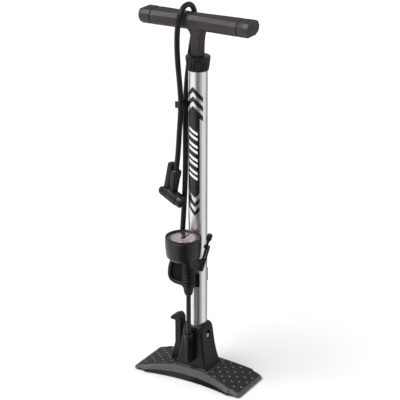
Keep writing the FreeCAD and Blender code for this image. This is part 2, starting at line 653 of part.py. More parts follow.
def make_handle_body():
    """T handle: the bar between its end caps and the stem that grips the rod."""
    body = new_body("handle_body")
    ends = ("bar_top_end", "bar_ridge_end", "bar_low_end")
    loft(body, [bar_section(body, "-cap_start_x", *ends),
                bar_section(body, "0", "bar_top_centre", "bar_ridge_centre", "bar_low_centre"),
                bar_section(body, "cap_start_x", *ends)])
    stem = [tower_section(body, "stem_bottom_half", "stem_bottom_half", "stem_bottom_z", "stem_corner"),
            tower_section(body, "stem_bottom_half + 0.8", "stem_bottom_half + 0.8",
                          "bar_bottom_z - 14", "stem_corner"),
            tower_section(body, "stem_top_half", "stem_bottom_half + 3", "bar_bottom_z + 3", "stem_corner")]
    loft(body, stem)
    bore = sketch_on(body, "XY_Plane", "stem_bottom_z - 1")
    circle(bore, "rod_radius")
    pocket(body, bore, "rod_top_z - stem_bottom_z + 1", reverse=True)
    cross_hole = sketch_on(body, "XZ_Plane")
    circle(cross_hole, "handle_pin_radius", ("0", "handle_pin_z"))
    pocket(body, cross_hole, symmetric=True)
    keep(body, "handle_body")


def make_handle_trim():
    """Soft top inlay, the two end caps and the cross pin of the handle."""
    inlay = new_body("handle_inlay")
    strips = []
    for x, half in (("-cap_start_x", "bar_top_end"), ("0", "bar_top_centre"),
                    ("cap_start_x", "bar_top_end")):
        sketch = sketch_on(inlay, "YZ_Plane", x)
        top = "bar_top_z + inlay_thickness"
        outline(sketch, [(f"-{half} + 0.4", "bar_top_z"), (f"{half} - 0.4", "bar_top_z"),
                         (f"{half} - 1", top), (f"-{half} + 1", top)])
        strips.append(sketch)
    loft(inlay, strips)
    keep(inlay, "handle_inlay")
    for label, sign in (("handle_end_cap_left", "-"), ("handle_end_cap_right", "")):
        body = new_body(label)
        full = ("bar_top_end", "bar_ridge_end", "bar_low_end")
        loft(body, [bar_section(body, f"{sign}(cap_start_x + 0.2)", *full),
                    bar_section(body, f"{sign}cap_corner_x", *full),
                    bar_section(body, f"{sign}bar_half_length", "bar_top_end - 1",
                                "bar_ridge_end - 1.2", "bar_low_end - 1", "0.8")])
        keep(body, label)
    pin = cylinder("handle_pin", "handle_pin_radius", "stem_bottom_half * 2",
                   at("0", "stem_bottom_half", "handle_pin_z", Rotation(Vector(1, 0, 0), 90)))
    keep(pin, "handle_pin")


# ---------------------------------------------------------------- gauge


def make_gauge_shells():
    """Cup, bezel and domed lens of the pressure gauge."""
    inner = "gauge_radius - gauge_wall"
    seat = "gauge_bottom_z + gauge_wall"
    turned("gauge_housing", [
        ("0", "gauge_bottom_z"), ("gauge_bottom_radius", "gauge_bottom_z"),
        ("gauge_taper_radius", "gauge_taper_z"), ("gauge_radius", "gauge_shoulder_z"),
        ("gauge_radius", "gauge_wall_top_z"), (inner, "gauge_wall_top_z"),
        (inner, "gauge_shoulder_z"), ("gauge_bottom_radius", seat), ("0", seat)],
        y="-gauge_offset", bulges={1: ("gauge_bottom_radius + 3.9", "gauge_bottom_z + 2.5")})
    turned("gauge_bezel", [
        (inner, "gauge_wall_top_z"), ("gauge_radius", "gauge_wall_top_z"),
        ("gauge_radius", "gauge_top_z - 1"), ("gauge_radius - 1", "gauge_top_z"),
        (f"{inner} - 0.8", "gauge_top_z"), (f"{inner} - 1.6", "gauge_wall_top_z + 2"),
        (inner, "gauge_wall_top_z + 2")], y="-gauge_offset")
    rim = f"{inner} - 0.1"
    low = "gauge_wall_top_z + 0.2"
    high = f"{low} + lens_thickness"
    step = f"{inner} - 1.9"
    dome = [(f"({step}) * {share}", f"{high} + lens_dome * {1 - share ** 2:.4f}")
            for share in (1, 0.75, 0.5, 0.25, 0)]
    turned("gauge_lens", [("0", low), (rim, low), (rim, high)] + dome, y="-gauge_offset")


def make_gauge_works():
    """Dial, movement with its shaft, pressure port and pointer."""
    inner = "gauge_radius - gauge_wall - 0.2"
    dial_top = "dial_z + dial_thickness"
    ring("gauge_dial", "shaft_radius + 0.3", inner, "dial_z", dial_top, y="-gauge_offset")
    seat = "gauge_bottom_z + gauge_wall"
    shaft_top = f"{dial_top} + needle_gap + needle_thickness"
    turned("gauge_movement", [
        ("0", seat), ("movement_radius", seat), ("movement_radius", "dial_z - 4"),
        ("shaft_radius", "dial_z - 4"),
        ("shaft_radius", shaft_top), ("0", shaft_top)], y="-gauge_offset")
    needle = new_body("gauge_needle", y="-gauge_offset")
    sketch = sketch_on(needle, "XY_Plane", f"{dial_top} + needle_gap")
    outline(sketch, [("-needle_half", "0"), ("-needle_tail_half", "-needle_tail"),
                     ("needle_tail_half", "-needle_tail"), ("needle_half", "0"),
                     ("needle_tip_half", "needle_length"), ("-needle_tip_half", "needle_length")])
    circle(sketch, "shaft_radius + running_gap")
    pad(needle, sketch, "needle_thickness")
    keep(needle, "gauge_needle")
    port = cylinder("gauge_port", "stem_port_radius", "gauge_bottom_z - stem_port_bottom_z",
                    at("0", "-stem_port_offset", "stem_port_bottom_z"))
    keep(port, "gauge_port")


# ---------------------------------------------------------------- bracket and fittings


def bracket_screw(name, height):
    """One bracket screw, along -Y through the clamp into the saddle."""
    return cylinder(name, "bracket_screw_radius", "bracket_screw_length",
                    at("0", "-barrel_radius - 0.4", height, Rotation(Vector(1, 0, 0), 90)))


def make_barrel_clamp():
    """Snap clip round the barrel, open to the right, and the screws that hold the bracket on it."""
    ring_part = new_body("clamp_ring")
    revolve(ring_part, [("barrel_radius", "clamp_bottom_z"), ("clamp_radius", "clamp_bottom_z"),
                        ("clamp_radius", "clamp_top_z"), ("barrel_radius", "clamp_top_z")],
            angle=360 - size("clamp_gap_angle"))
    ring_part.Placement.Rotation = Rotation(Vector(0, 0, 1), size("clamp_gap_angle") / 2 + 5)
    heights = ("bracket_screw_low_z", "bracket_screw_high_z")
    holes = [bracket_screw(f"clamp_hole_{number}", height) for number, height in enumerate(heights)]
    keep(cut("barrel_clamp", ring_part, fuse("clamp_holes", holes)), "barrel_clamp")
    group = doc.addObject("Part::Compound", "bracket_screws")
    group.Links = [bracket_screw(f"bracket_screw_{number}", height)
                   for number, height in enumerate(heights)]
    keep(group, "bracket_screws")


def wing_outline():
    """Corners of the left wing, outside and inside its raised rim."""
    outer = [("-wing_root_x", "gauge_bottom_z"), ("-wing_top_x", "gauge_bottom_z"),
             ("-wing_bulge_x", "wing_bulge_z"), ("-wing_lower_x", "wing_lower_z"),
             ("-wing_toe_x", "wing_toe_z"), ("-wing_root_x", "wing_toe_z - 1")]
    inner = [("-wing_root_x - wing_rim / 2", "gauge_bottom_z - wing_rim * 1.6"),
             ("-wing_top_x + wing_rim * 0.7", "gauge_bottom_z - wing_rim * 1.6"),
             ("-wing_bulge_x + wing_rim", "wing_bulge_z"),
             ("-wing_lower_x + wing_rim * 0.8", "wing_lower_z + wing_rim"),
             ("-wing_toe_x", "wing_toe_z + wing_rim * 1.3"),
             ("-wing_root_x - wing_rim / 2", "wing_toe_z + wing_rim * 1.2")]
    return outer, inner


def make_gauge_bracket():
    """Bracket with the upright manifold tube, the wing and the saddle that meets the clamp."""
    body = new_body("gauge_bracket")
    tube = sketch_on(body, "XY_Plane", "manifold_bottom_z")
    circle(tube, "manifold_radius", ("0", "-manifold_offset"))
    pad(body, tube, "gauge_bottom_z - manifold_bottom_z")
    saddle = sketch_on(body, "XY_Plane", "manifold_bottom_z")
    saddle_back = "-barrel_radius - 1"
    outline(saddle, [("-saddle_half_width", "-manifold_offset"), ("saddle_half_width", "-manifold_offset"),
                     ("saddle_half_width", saddle_back), ("-saddle_half_width", saddle_back)])
    pad(body, saddle, "saddle_height")
    outer, inner = wing_outline()
    web = sketch_on(body, "XZ_Plane", "wing_offset")
    outer_bends = {2: ("-wing_bulge_x - 0.2", "wing_bend_z"), 3: ("-wing_bend_x", "wing_toe_z + 2.8")}
    inner_bends = {2: ("-wing_bulge_x + wing_rim - 0.2", "wing_bend_z + 3.5"),
                   3: ("-wing_bend_x + 2", "wing_toe_z + 8.8")}
    outline(web, outer, outer_bends)
    pad(body, web, "wing_web_thickness", symmetric=True)
    rim = sketch_on(body, "XZ_Plane", "wing_offset")
    outline(rim, outer, outer_bends)
    outline(rim, inner, inner_bends)
    pad(body, rim, "wing_rim_thickness", symmetric=True)
    barrel_room = sketch_on(body, "XY_Plane", "manifold_bottom_z - 1")
    circle(barrel_room, "clamp_radius")
    pocket(body, barrel_room, reverse=True)
    screw_holes = sketch_on(body, "XZ_Plane")
    for height in ("bracket_screw_low_z", "bracket_screw_high_z"):
        circle(screw_holes, "bracket_screw_radius", ("0", height))
    pocket(body, screw_holes, "barrel_radius + 0.4 + bracket_screw_length", reverse=True)
    port_hole = sketch_on(body, "XY_Plane", "stem_port_bottom_z")
    circle(port_hole, "stem_port_radius", ("0", "-stem_port_offset"))
    pocket(body, port_hole, reverse=True)
    keep(body, "gauge_bracket")


def make_outlet():
    """Elbow from the manifold to the main hose, and the ferrule on it."""
    place = at("-outlet_x", "-outlet_y", "outlet_bottom_z")
    upright = cylinder("outlet_upright", "outlet_radius", "outlet_top_z - outlet_bottom_z", place)
    toward = Vector(0, -size("manifold_offset"), 0) - Vector(-size("outlet_x"), -size("outlet_y"), 0)
    turn = Rotation(Vector(0, 0, 1), toward)
    arm = cylinder("outlet_arm", "outlet_radius - 1.6", str(round(toward.Length, 3)),
                   at("-outlet_x", "-outlet_y", "outlet_bottom_z + 8", turn))
    manifold_room = cylinder("outlet_room", "manifold_radius", "room_depth",
                             at("0", "-manifold_offset", "manifold_bottom_z"))
    wing_room = block("outlet_wing_room", ("room_depth", "wing_rim_thickness", "room_depth"),
                      at("-outlet_x", "-wing_offset", "manifold_bottom_z"))
    saddle_depth = "manifold_offset - barrel_radius - 1"
    saddle_room = block("outlet_saddle_room", ("saddle_half_width * 2", saddle_depth, "room_depth"),
                        at("0", "-(manifold_offset + barrel_radius + 1) / 2", "manifold_bottom_z"))
    rooms = fuse("outlet_rooms", [manifold_room, wing_room, saddle_room])
    elbow = cut("outlet_elbow", fuse("outlet_blank", [upright, arm]), rooms)
    keep(elbow, "outlet_elbow")
    turned("outlet_ferrule", [
        ("0", "outlet_top_z"), ("ferrule_radius", "outlet_top_z"),
        ("ferrule_radius", "ferrule_top_z - 2"), ("ferrule_radius - 1", "ferrule_top_z"),
        ("main_hose_radius", "ferrule_top_z"), ("main_hose_radius", "main_hose_start_z"),
        ("0", "main_hose_start_z")], "-outlet_x", "-outlet_y")


# ---------------------------------------------------------------- hoses


def rounded_path(points):
    """Wire of straight runs joined by tangent arcs, and the radius of each arc."""
    edges = []
    radii = []
    start = points[0]
    for before, corner, after in zip(points, points[1:], points[2:]):
        first = (before - corner).normalize()
        second = (after - corner).normalize()
        shorter = min((before - corner).Length, (after - corner).Length)
        half_turn = (math.pi - first.getAngle(second)) / 2
        setback = 0.45 * shorter
        radius = setback / math.tan(half_turn)
        radii.append(radius)
        arc_start = corner + first * setback
        arc_end = corner + second * setback
        inward = (first + second).normalize()
        middle = corner + inward * (radius / math.cos(half_turn) - radius)
        edges.append(Part.LineSegment(start, arc_start).toShape())
        edges.append(Part.Arc(arc_start, middle, arc_end).toShape())
        start = arc_end
    edges.append(Part.LineSegment(start, points[-1]).toShape())
    return Part.Wire(edges), radii


def hose(label, points, radius):
    """Solid round hose along a rounded path."""
    path, radii = rounded_path(points)
    direction = points[1] - points[0]
    section = Part.Wire(Part.Circle(points[0], direction, size(radius)).toShape())
    solid = path.makePipeShell([section], True, True)
    expected = math.pi * size(radius) ** 2 * path.Length
    print(f"{label}: length {path.Length:.1f}, volume ratio {solid.Volume / expected:.4f}")
    print(f"{label}: radii", " ".join(f"{value:.0f}" for value in radii))
    item = doc.addObject("Part::Feature", label)
    item.Shape = solid
    return keep(item, label)


def make_hoses():
    """Main hose up, over the handle and down to the chuck, and the short lower hose."""
    frame = chuck_frame()
    neck_end = frame.multVec(neck_point(size("neck_length + 2")))
    points = [Vector(*place) for place in MAIN_HOSE_ROUTE] + [neck_end]
    print("main hose ends at", [round(value, 2) for value in neck_end])
    hose("main_hose", points, "main_hose_radius")
    lower = cylinder("lower_hose", "lower_hose_radius", "lower_hose_top_z - lower_hose_bottom_z",
                     at("0", "-manifold_offset", "lower_hose_bottom_z"))
    keep(lower, "lower_hose")
    turned("lower_hose_nut", [
        ("lower_hose_radius", "hose_nut_bottom_z"), ("hose_nut_radius - 2", "hose_nut_bottom_z"),
        ("hose_nut_radius", "hose_nut_bottom_z + 4"), ("hose_nut_radius", "manifold_bottom_z"),
        ("0", "manifold_bottom_z"), ("0", "lower_hose_top_z"),
        ("lower_hose_radius", "lower_hose_top_z")], y="-manifold_offset")


def make_hose_clip():
    """Double clip that holds the two runs of the main hose side by side."""
    tall = "clip_top_z - clip_bottom_z"
    runs = [Vector(*MAIN_HOSE_ROUTE[5]), Vector(*MAIN_HOSE_ROUTE[16])]
    shells, bores = [], []
    for number, run in enumerate(runs):
        place = Placement(Vector(run.x, run.y, size("clip_bottom_z")), Rotation())
        shells.append(cylinder(f"clip_shell_{number}", "main_hose_radius + clip_wall", tall, place))
        bores.append(cylinder(f"clip_bore_{number}", "main_hose_radius", tall, place))
    middle = (runs[0] + runs[1]) / 2
    shells.append(block("clip_web", ("clip_web_length", "(main_hose_radius + clip_wall) * 2", tall),
                        Placement(Vector(middle.x, middle.y, size("clip_bottom_z")), Rotation())))
    shells.append(block("clip_tab", ("clip_tab_length", "clip_tab_thickness", tall), Placement(
        Vector(runs[1].x - size("main_hose_radius + clip_wall") - 2, runs[1].y - 1,
               size("clip_bottom_z")), Rotation())))
    clip = cut("hose_clip", fuse("clip_blank", shells), fuse("clip_bores", bores))
    keep(clip, "hose_clip")


# ---------------------------------------------------------------- accessory holder


def adaptor_frame():
    """Frame of the leaning adaptor, Z along it, origin at the foot of its socket."""
    lean = Rotation(Vector(0, 1, 0), size("adaptor_lean"))
    turn = Rotation(Vector(0, 0, 1), size("adaptor_turn"))
    return at("holder_x", "-holder_y", "holder_z", turn.multiply(lean))


def make_accessory_holder():
    """Socket, spine and ring that hold the spare adaptor beside the gauge."""
    frame = adaptor_frame()

    def local(x, y, z):
        return frame.multiply(Placement(Vector(x, y, z), Rotation()))
    socket = cylinder("holder_socket", "holder_radius", "holder_socket_length", local(0, 0, 0))
    loop = cylinder("holder_loop", "holder_radius - 0.8", "holder_ring_length",
                    local(0, 0, size("holder_ring_start")))
    spine = block("holder_spine", ("spine_thickness", "spine_width",
                                    "holder_ring_start + holder_ring_length - 2"),
                  local(size("holder_radius") - 1, 0, 2))
    arm_length = size("holder_x - manifold_radius") + 3
    arm = block("holder_arm", (str(arm_length), "holder_arm_width", "holder_arm_height"),
                at("manifold_radius", "-holder_y", "holder_z + 1").multiply(
                    Placement(Vector(arm_length / 2 - 2.5, 0, 0), Rotation())))
    blank = fuse("holder_blank", [socket, loop, spine, arm])
    bore = cylinder("holder_bore", "adaptor_radius + 0.3", "adaptor_length", local(0, 0, 4))
    room = cylinder("holder_room", "manifold_radius", "room_depth",
                    at("0", "-manifold_offset", "manifold_bottom_z"))
    gauge_room = cylinder("holder_gauge_room", "gauge_radius + 0.3", "room_depth / 2",
                          at("0", "-gauge_offset", "gauge_bottom_z - 0.5"))
    rooms = fuse("holder_rooms", [bore, room, gauge_room])
    keep(cut("accessory_holder", blank, rooms), "accessory_holder")


def make_nozzle_adaptor():
    """Spare needle adaptor with a round grip, leaning in the holder."""
    body = new_body("nozzle_adaptor")
    grip = "adaptor_length - 10"
    revolve(body, [("0", "adaptor_foot"), ("adaptor_radius - 0.8", "adaptor_foot"),
                   ("adaptor_radius", "adaptor_taper_end"),
                   ("adaptor_radius", f"{grip} - 4"), ("adaptor_knob_radius - 0.6", f"{grip} - 1"),
                   ("adaptor_knob_radius", f"{grip} + 1"),
                   ("adaptor_knob_radius", "adaptor_length - 2"),
                   ("adaptor_knob_radius - 1.5", "adaptor_length"), ("0", "adaptor_length")])
    for axis in "xyz":
        body.setExpression(f"Placement.Base.{axis}", None)
    body.Placement = adaptor_frame()
    keep(body, "nozzle_adaptor")


# ---------------------------------------------------------------- lever chuck


def chuck_frame():
    """Frame of the chuck: Z along its nose, X across it towards the neck."""
    nose = Vector(NOSE_AXIS).normalize()
    across = NECK_HINT - nose * NECK_HINT.dot(nose)
    across.normalize()
    return Placement(CHUCK_ORIGIN, Rotation(across, nose.cross(across), nose, "ZXY"))


def neck_point(distance, behind=0):
    """Point on the neck axis, or on a parallel axis behind it, in the chuck's frame."""
    lean = math.radians(size("neck_lean"))
    return Vector(distance * math.cos(lean), 0, -distance * math.sin(lean) - behind)


def neck_turn():
    """Rotation from the chuck's Z axis to the neck's direction."""
    return Rotation(Vector(0, 0, 1), neck_point(1))


def in_chuck(position, rotation=None):
    """Placement in the pump's frame of something placed in the chuck's frame."""
    return chuck_frame().multiply(Placement(position, rotation or Rotation()))


def place_body(body, placement):
    """Give a body a fixed placement in place of its bound one."""
    for axis in "xyz":
        body.setExpression(f"Placement.Base.{axis}", None)
    body.Placement = placement
    return body


def make_chuck_body():
    """Head with two ears for the lever, and the neck towards the hose."""
    head = cylinder("chuck_head", "chuck_head_radius", "chuck_front - chuck_solid_start",
                    in_chuck(Vector(0, 0, size("chuck_solid_start"))))
    neck = cylinder("chuck_neck", "neck_radius", "neck_length", in_chuck(Vector(), neck_turn()))
    pieces = [head, neck]
    thickness = "chuck_ear_outer - chuck_ear_inner"
    for number, side in enumerate((1, -1)):
        across = side * size("chuck_ear_inner + chuck_ear_outer") / 2
        depth = "chuck_solid_start - chuck_ear_end - lever_eye_radius + 2"
        pieces.append(block(f"chuck_ear_{number}", ("ear_length", thickness, depth), in_chuck(
            Vector(0, across, size("chuck_ear_end + lever_eye_radius - 1")))))
        pieces.append(cylinder(
            f"chuck_ear_end_{number}", "lever_eye_radius - 0.5", thickness,
            in_chuck(Vector(0, across - size(thickness) / 2, size("pin_offset")),
                     Rotation(Vector(1, 0, 0), -90))))
    cavity = cylinder("chuck_cavity", "cavity_radius", "chuck_front - chuck_solid_start + 2",
                      in_chuck(Vector(0, 0, size("chuck_solid_start") - 1)))
    passage = cylinder("chuck_passage", "channel_radius", "neck_length + 2",
                       in_chuck(Vector(), neck_turn()))
    pin_hole = cylinder("chuck_pin_hole", "chuck_pin_radius", "pin_room_length", in_chuck(
        Vector(0, -15, size("pin_offset")), Rotation(Vector(1, 0, 0), -90)))
    body = cut("chuck_body", fuse("chuck_blank", pieces),
               fuse("chuck_hollows", [cavity, passage, pin_hole]))
    keep(body, "chuck_body")


def make_chuck_lever():
    """Clamping lever with its eye between the ears of the head."""
    turn = Rotation(Vector(1, 0, 0), -90)
    width = "lever_half_width * 2"
    pivot = Vector(0, 0, size("pin_offset"))
    eye = cylinder("lever_eye", "lever_eye_radius", width,
                   in_chuck(pivot - Vector(0, size("lever_half_width"), 0), turn))
    arm_start = pivot + neck_turn().multVec(Vector(-size("lever_offset"), 0, 0))
    arm = block("lever_arm", ("lever_half_thickness * 2", width, "lever_length"),
                in_chuck(arm_start, neck_turn()))
    tip = cylinder("lever_tip", "lever_half_thickness", width, in_chuck(
        arm_start + neck_turn().multVec(Vector(0, -size("lever_half_width"), size("lever_length"))),
        turn))
    hole = cylinder("lever_hole", "chuck_pin_radius + running_gap", "pin_room_length",
                    in_chuck(pivot - Vector(0, 15, 0), turn))
    keep(cut("chuck_lever", fuse("lever_blank", [eye, arm, tip]), hole), "chuck_lever")
    pin = cylinder("chuck_pin", "chuck_pin_radius", "chuck_ear_outer * 2",
                   in_chuck(pivot - Vector(0, size("chuck_ear_outer"), 0), turn))
    keep(pin, "chuck_pin")


def make_chuck_inside():
    """Plunger, rubber gland, nose cap and hose nut of the chuck."""
    slide = "cavity_radius - running_gap"
    parts = {
        "chuck_plunger": [("0", "chuck_solid_start + 0.5"), (slide, "chuck_solid_start + 0.5"),
                          (slide, "plunger_end"), ("0", "plunger_end")],
        "chuck_gland": [("gland_bore", "gland_start"), ("cavity_radius", "gland_start"),
                        ("cavity_radius", "gland_end"), ("gland_bore", "gland_end")],
        "chuck_nose_cap": [("cavity_radius", "chuck_front"), ("nose_cap_radius", "chuck_front"),
                           ("nose_cap_radius", "nose_end - 2"), ("nose_cap_radius - 2", "nose_end"),
                           ("valve_mouth", "nose_end"), ("valve_mouth", "gland_end"),
                           ("cavity_radius", "gland_end")],
    }
    for label, corners in parts.items():
        body = new_body(label)
        revolve(body, corners)
        keep(place_body(body, chuck_frame()), label)
    nut = new_body("chuck_hose_nut")
    top = "neck_length + neck_nut_length"
    revolve(nut, [("0", "neck_length"), ("neck_nut_radius", "neck_length"),
                  ("neck_nut_radius", f"{top} - 2"), ("neck_nut_radius - 1.6", top),
                  ("main_hose_radius", top), ("main_hose_radius", "neck_length + 2"),
                  ("0", "neck_length + 2")])
    keep(place_body(nut, in_chuck(Vector(), neck_turn())), "chuck_hose_nut")


# ---------------------------------------------------------------- build, check and write


def build():
    """Make every sub-part."""
    make_base_shell()
    make_base_skirt()
    make_base_sole()
    make_base_feet()
    make_base_screws()
    make_tread("tread_left", "-")
    make_tread("tread_right", "")
    make_tower()
    make_socket_screw()
    make_chuck_hook()
    make_barrel()
    make_check_valve()
    make_barrel_cap()
    make_rod_guide()
    make_piston()
    make_handle_body()
    make_handle_trim()
    make_gauge_shells()
    make_gauge_works()
    make_barrel_clamp()
    make_gauge_bracket()
    make_outlet()
    make_hoses()
    make_hose_clip()
    make_accessory_holder()
    make_nozzle_adaptor()
    make_chuck_body()
    make_chuck_lever()
    make_chuck_inside()


def check():
    """Stop if any object failed or any node is not a sound solid."""
    doc.recompute()
    for item in doc.Objects:
        if "Invalid" in item.State or "Error" in item.State:
            raise RuntimeError(f"{item.Label} failed: {item.State}")
    for item in nodes:
        if item.Shape.isNull() or not item.Shape.isValid() or not item.Shape.Solids:
            raise RuntimeError(f"{item.Label} is not a valid solid")


fill_sheet()
build()
check()
os.makedirs("parts", exist_ok=True)
for node in nodes:
    node.Shape.exportStep(f"parts/{node.Label}.step")
print(len(nodes), "nodes written")
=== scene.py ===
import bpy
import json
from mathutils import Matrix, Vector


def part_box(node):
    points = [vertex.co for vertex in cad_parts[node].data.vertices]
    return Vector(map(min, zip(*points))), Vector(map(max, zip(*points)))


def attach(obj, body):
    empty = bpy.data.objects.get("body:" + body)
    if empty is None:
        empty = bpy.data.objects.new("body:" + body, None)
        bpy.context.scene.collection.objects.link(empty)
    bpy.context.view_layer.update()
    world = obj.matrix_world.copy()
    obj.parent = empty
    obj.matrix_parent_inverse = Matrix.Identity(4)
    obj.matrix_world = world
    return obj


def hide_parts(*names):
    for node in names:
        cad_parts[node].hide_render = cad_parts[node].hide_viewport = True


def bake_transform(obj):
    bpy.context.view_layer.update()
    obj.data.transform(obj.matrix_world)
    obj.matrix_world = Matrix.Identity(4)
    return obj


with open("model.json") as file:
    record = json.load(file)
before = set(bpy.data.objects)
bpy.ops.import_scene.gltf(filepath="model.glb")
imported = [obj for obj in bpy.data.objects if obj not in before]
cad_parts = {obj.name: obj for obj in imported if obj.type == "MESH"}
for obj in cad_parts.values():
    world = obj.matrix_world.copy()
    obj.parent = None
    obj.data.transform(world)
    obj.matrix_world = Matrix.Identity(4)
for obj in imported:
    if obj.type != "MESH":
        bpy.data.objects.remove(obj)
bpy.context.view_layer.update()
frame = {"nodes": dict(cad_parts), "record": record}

import json
import math

import bmesh
import bpy
from mathutils import Matrix, Vector

MM = 0.001
UP = Vector((0, 0, 1))
NODES = frame["nodes"]
NODE_BODY = {node: body for body, members in frame["record"]["behaviour"]["bodies"].items()
             for node in members}
NODE_SLOT = {row["node"]: row["material_slot"] for row in frame["record"]["subparts"]}


# ---------------------------------------------------------------- boxes of the frame


def low(node):
    """Lowest corner of a CAD node, in metres."""
    return Vector(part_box(node)[0])


def high(node):
    """Highest corner of a CAD node, in metres."""
    return Vector(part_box(node)[1])


def middle(node):
    """Centre of a CAD node's box, in metres."""
    return (low(node) + high(node)) / 2


def axis_of(node):
    """Where a node's upright axis stands, as (x, y)."""
    return middle(node).xy[:]


def radius_of(node):
    """Half the width of a node along X."""
    return (high(node).x - low(node).x) / 2


# ---------------------------------------------------------------- mesh helpers


def new_object(name, data):
    """Object for a mesh, curve, light or camera, linked to the scene."""
    obj = bpy.data.objects.new(name, data)
    bpy.context.scene.collection.objects.link(obj)
    return obj


def shade_smooth(mesh):
    """Smooth shading on every face."""
    for polygon in mesh.polygons:
        polygon.use_smooth = True


def finish_mesh(mesh, sharp_angle=38):
    """Weld doubles, face outwards and shade smooth, with edges above an angle kept sharp."""
    work = bmesh.new()
    work.from_mesh(mesh)
    bmesh.ops.remove_doubles(work, verts=work.verts, dist=2e-6)
    bmesh.ops.dissolve_degenerate(work, edges=work.edges, dist=1e-6)
    bmesh.ops.recalc_face_normals(work, faces=work.faces)
    work.to_mesh(mesh)
    work.free()
    shade_smooth(mesh)
    mesh.set_sharp_from_angle(angle=math.radians(sharp_angle))
    mesh.update()


def skin(name, rings, capped=True, sharp_angle=38):
    """Surface over rings of points that all have the same count."""
    count = len(rings[0])
    vertices = [point for ring in rings for point in ring]
    faces = []
    for row in range(len(rings) - 1):
        for column in range(count):
            after = (column + 1) % count
            faces.append((row * count + column, row * count + after,
                          (row + 1) * count + after, (row + 1) * count + column))
    if capped:
        faces.append(tuple(reversed(range(count))))
        faces.append(tuple(range((len(rings) - 1) * count, len(rings) * count)))
    mesh = bpy.data.meshes.new(name)
    mesh.from_pydata([tuple(point) for point in vertices], [], faces)
    finish_mesh(mesh, sharp_angle)
    return new_object(name, mesh)


def apply_modifiers(obj):
    """Put the evaluated mesh in the object and drop its modifiers."""
    bpy.context.view_layer.update()
    graph = bpy.context.evaluated_depsgraph_get()
    mesh = bpy.data.meshes.new_from_object(obj.evaluated_get(graph))
    obj.modifiers.clear()
    obj.data = mesh
    return obj


def round_edges(obj, width, segments=2, angle=32):
    """Bevel every edge sharper than an angle."""
    bevel = obj.modifiers.new("rounding", "BEVEL")
    bevel.limit_method = "ANGLE"
    bevel.angle_limit = math.radians(angle)
    bevel.width = width
    bevel.segments = segments
    bevel.use_clamp_overlap = True
    bevel.miter_outer = "MITER_ARC"
    normals = obj.modifiers.new("normals", "WEIGHTED_NORMAL")
    normals.keep_sharp = True
    apply_modifiers(obj)
    shade_smooth(obj.data)
    return obj


def raised(base, offsets, radius=0.0):
    """Profile points in metres, from millimetre offsets to a radius and a height."""
    return [(radius + across * MM, base + up * MM, *rest) for across, up, *rest in offsets]


def turned(name, profile, centre=(0, 0), segments=96, sharp_angle=38):
    """Lathe piece about a vertical axis; profile is (radius, height) pairs in metres."""
    rings = []
    for radius, height in profile:
        radius = max(radius, 1e-7)
        rings.append([Vector((centre[0] + radius * math.cos(turn), centre[1] + radius * math.sin(turn),
                              height)) for turn in turns(segments)])
    return skin(name, rings, capped=False, sharp_angle=sharp_angle)


def knurled(name, profile, axis, ribs, depth, per_rib=8, power=0.7, sharp_angle=50):
    """Lathe piece with upright ribs where the profile's third value is above zero."""
    rings = []
    for radius, height, share in profile:
        ring = []
        for turn in turns(ribs * per_rib):
            wave = (0.5 - 0.5 * math.cos(ribs * turn)) ** power
            pulled = max(radius - depth * share * (1 - wave), 1e-7)
            ring.append(Vector((axis[0] + pulled * math.cos(turn), axis[1] + pulled * math.sin(turn),
                                height)))
        rings.append(ring)
    return skin(name, rings, capped=False, sharp_angle=sharp_angle)


def turns(count):
    """Evenly spaced angles round a circle."""
    return [2 * math.pi * index / count for index in range(count)]


def rounded_loop(half_x, half_y, corner, per_corner=8):
    """Rounded rectangle as (x, y) pairs, the same count for every size."""
    points = []
    for number, (side_x, side_y) in enumerate(((1, 1), (-1, 1), (-1, -1), (1, -1))):
        for step in range(per_corner + 1):
            angle = math.pi / 2 * (number + step / per_corner)
            points.append((side_x * (half_x - corner) + corner * math.cos(angle),
                           side_y * (half_y - corner) + corner * math.sin(angle)))
    return points


def stacked(name, sections, sharp_angle=30):
    """Surface through level (x, y) loops; sections are (height, loop) pairs in metres."""
    return skin(name, [[Vector((x, y, height)) for x, y in loop] for height, loop in sections],
                sharp_angle=sharp_angle)


def mirrored(x, half):
    """Cross-section at a place along X, from (y, z) points of its +Y half."""
    return [Vector((x, -y, z)) for y, z in half] + [Vector((x, y, z)) for y, z in reversed(half)]


def curve_mesh(curve):
    """Mesh of a curve or text."""
    obj = new_object(curve.name, curve)
    bpy.context.view_layer.update()
    mesh = bpy.data.meshes.new_from_object(obj.evaluated_get(bpy.context.evaluated_depsgraph_get()))
    bpy.data.objects.remove(obj)
    return mesh


def join(name, objects):
    """One object from several, keeping each one's material faces."""
    bpy.ops.object.select_all(action="DESELECT")
    for obj in objects:
        obj.select_set(True)
    bpy.context.view_layer.objects.active = objects[0]
    bpy.ops.object.join()
    objects[0].name = name
    return objects[0]


def softened(node, width, segments=2, angle=32):
    """Copy of a CAD node with its hard edges rounded."""
    mesh = NODES[node].data.copy()
    work = bmesh.new()
    work.from_mesh(mesh)
    bmesh.ops.remove_doubles(work, verts=work.verts, dist=1e-6)
    bmesh.ops.dissolve_limit(work, angle_limit=math.radians(0.6), verts=work.verts, edges=work.edges)
    bmesh.ops.recalc_face_normals(work, faces=work.faces)
    work.to_mesh(mesh)
    work.free()
    mesh.materials.clear()
    obj = new_object(node + "_piece", mesh)
    shade_smooth(mesh)
    return round_edges(obj, width, segments, angle)


def trim(obj, node, material):
    """Detail that rides with a CAD node's body and takes the material given, without replacing the node.
    """
    obj.data.materials.clear()
    obj.data.materials.append(material)
    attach(obj, NODE_BODY[node])
    return obj


def place(obj, node, material):
    """Give a piece its material and its body, and hide the CAD node it stands for."""
    trim(obj, node, material)
    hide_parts(node)
    return obj


# ---------------------------------------------------------------- materials


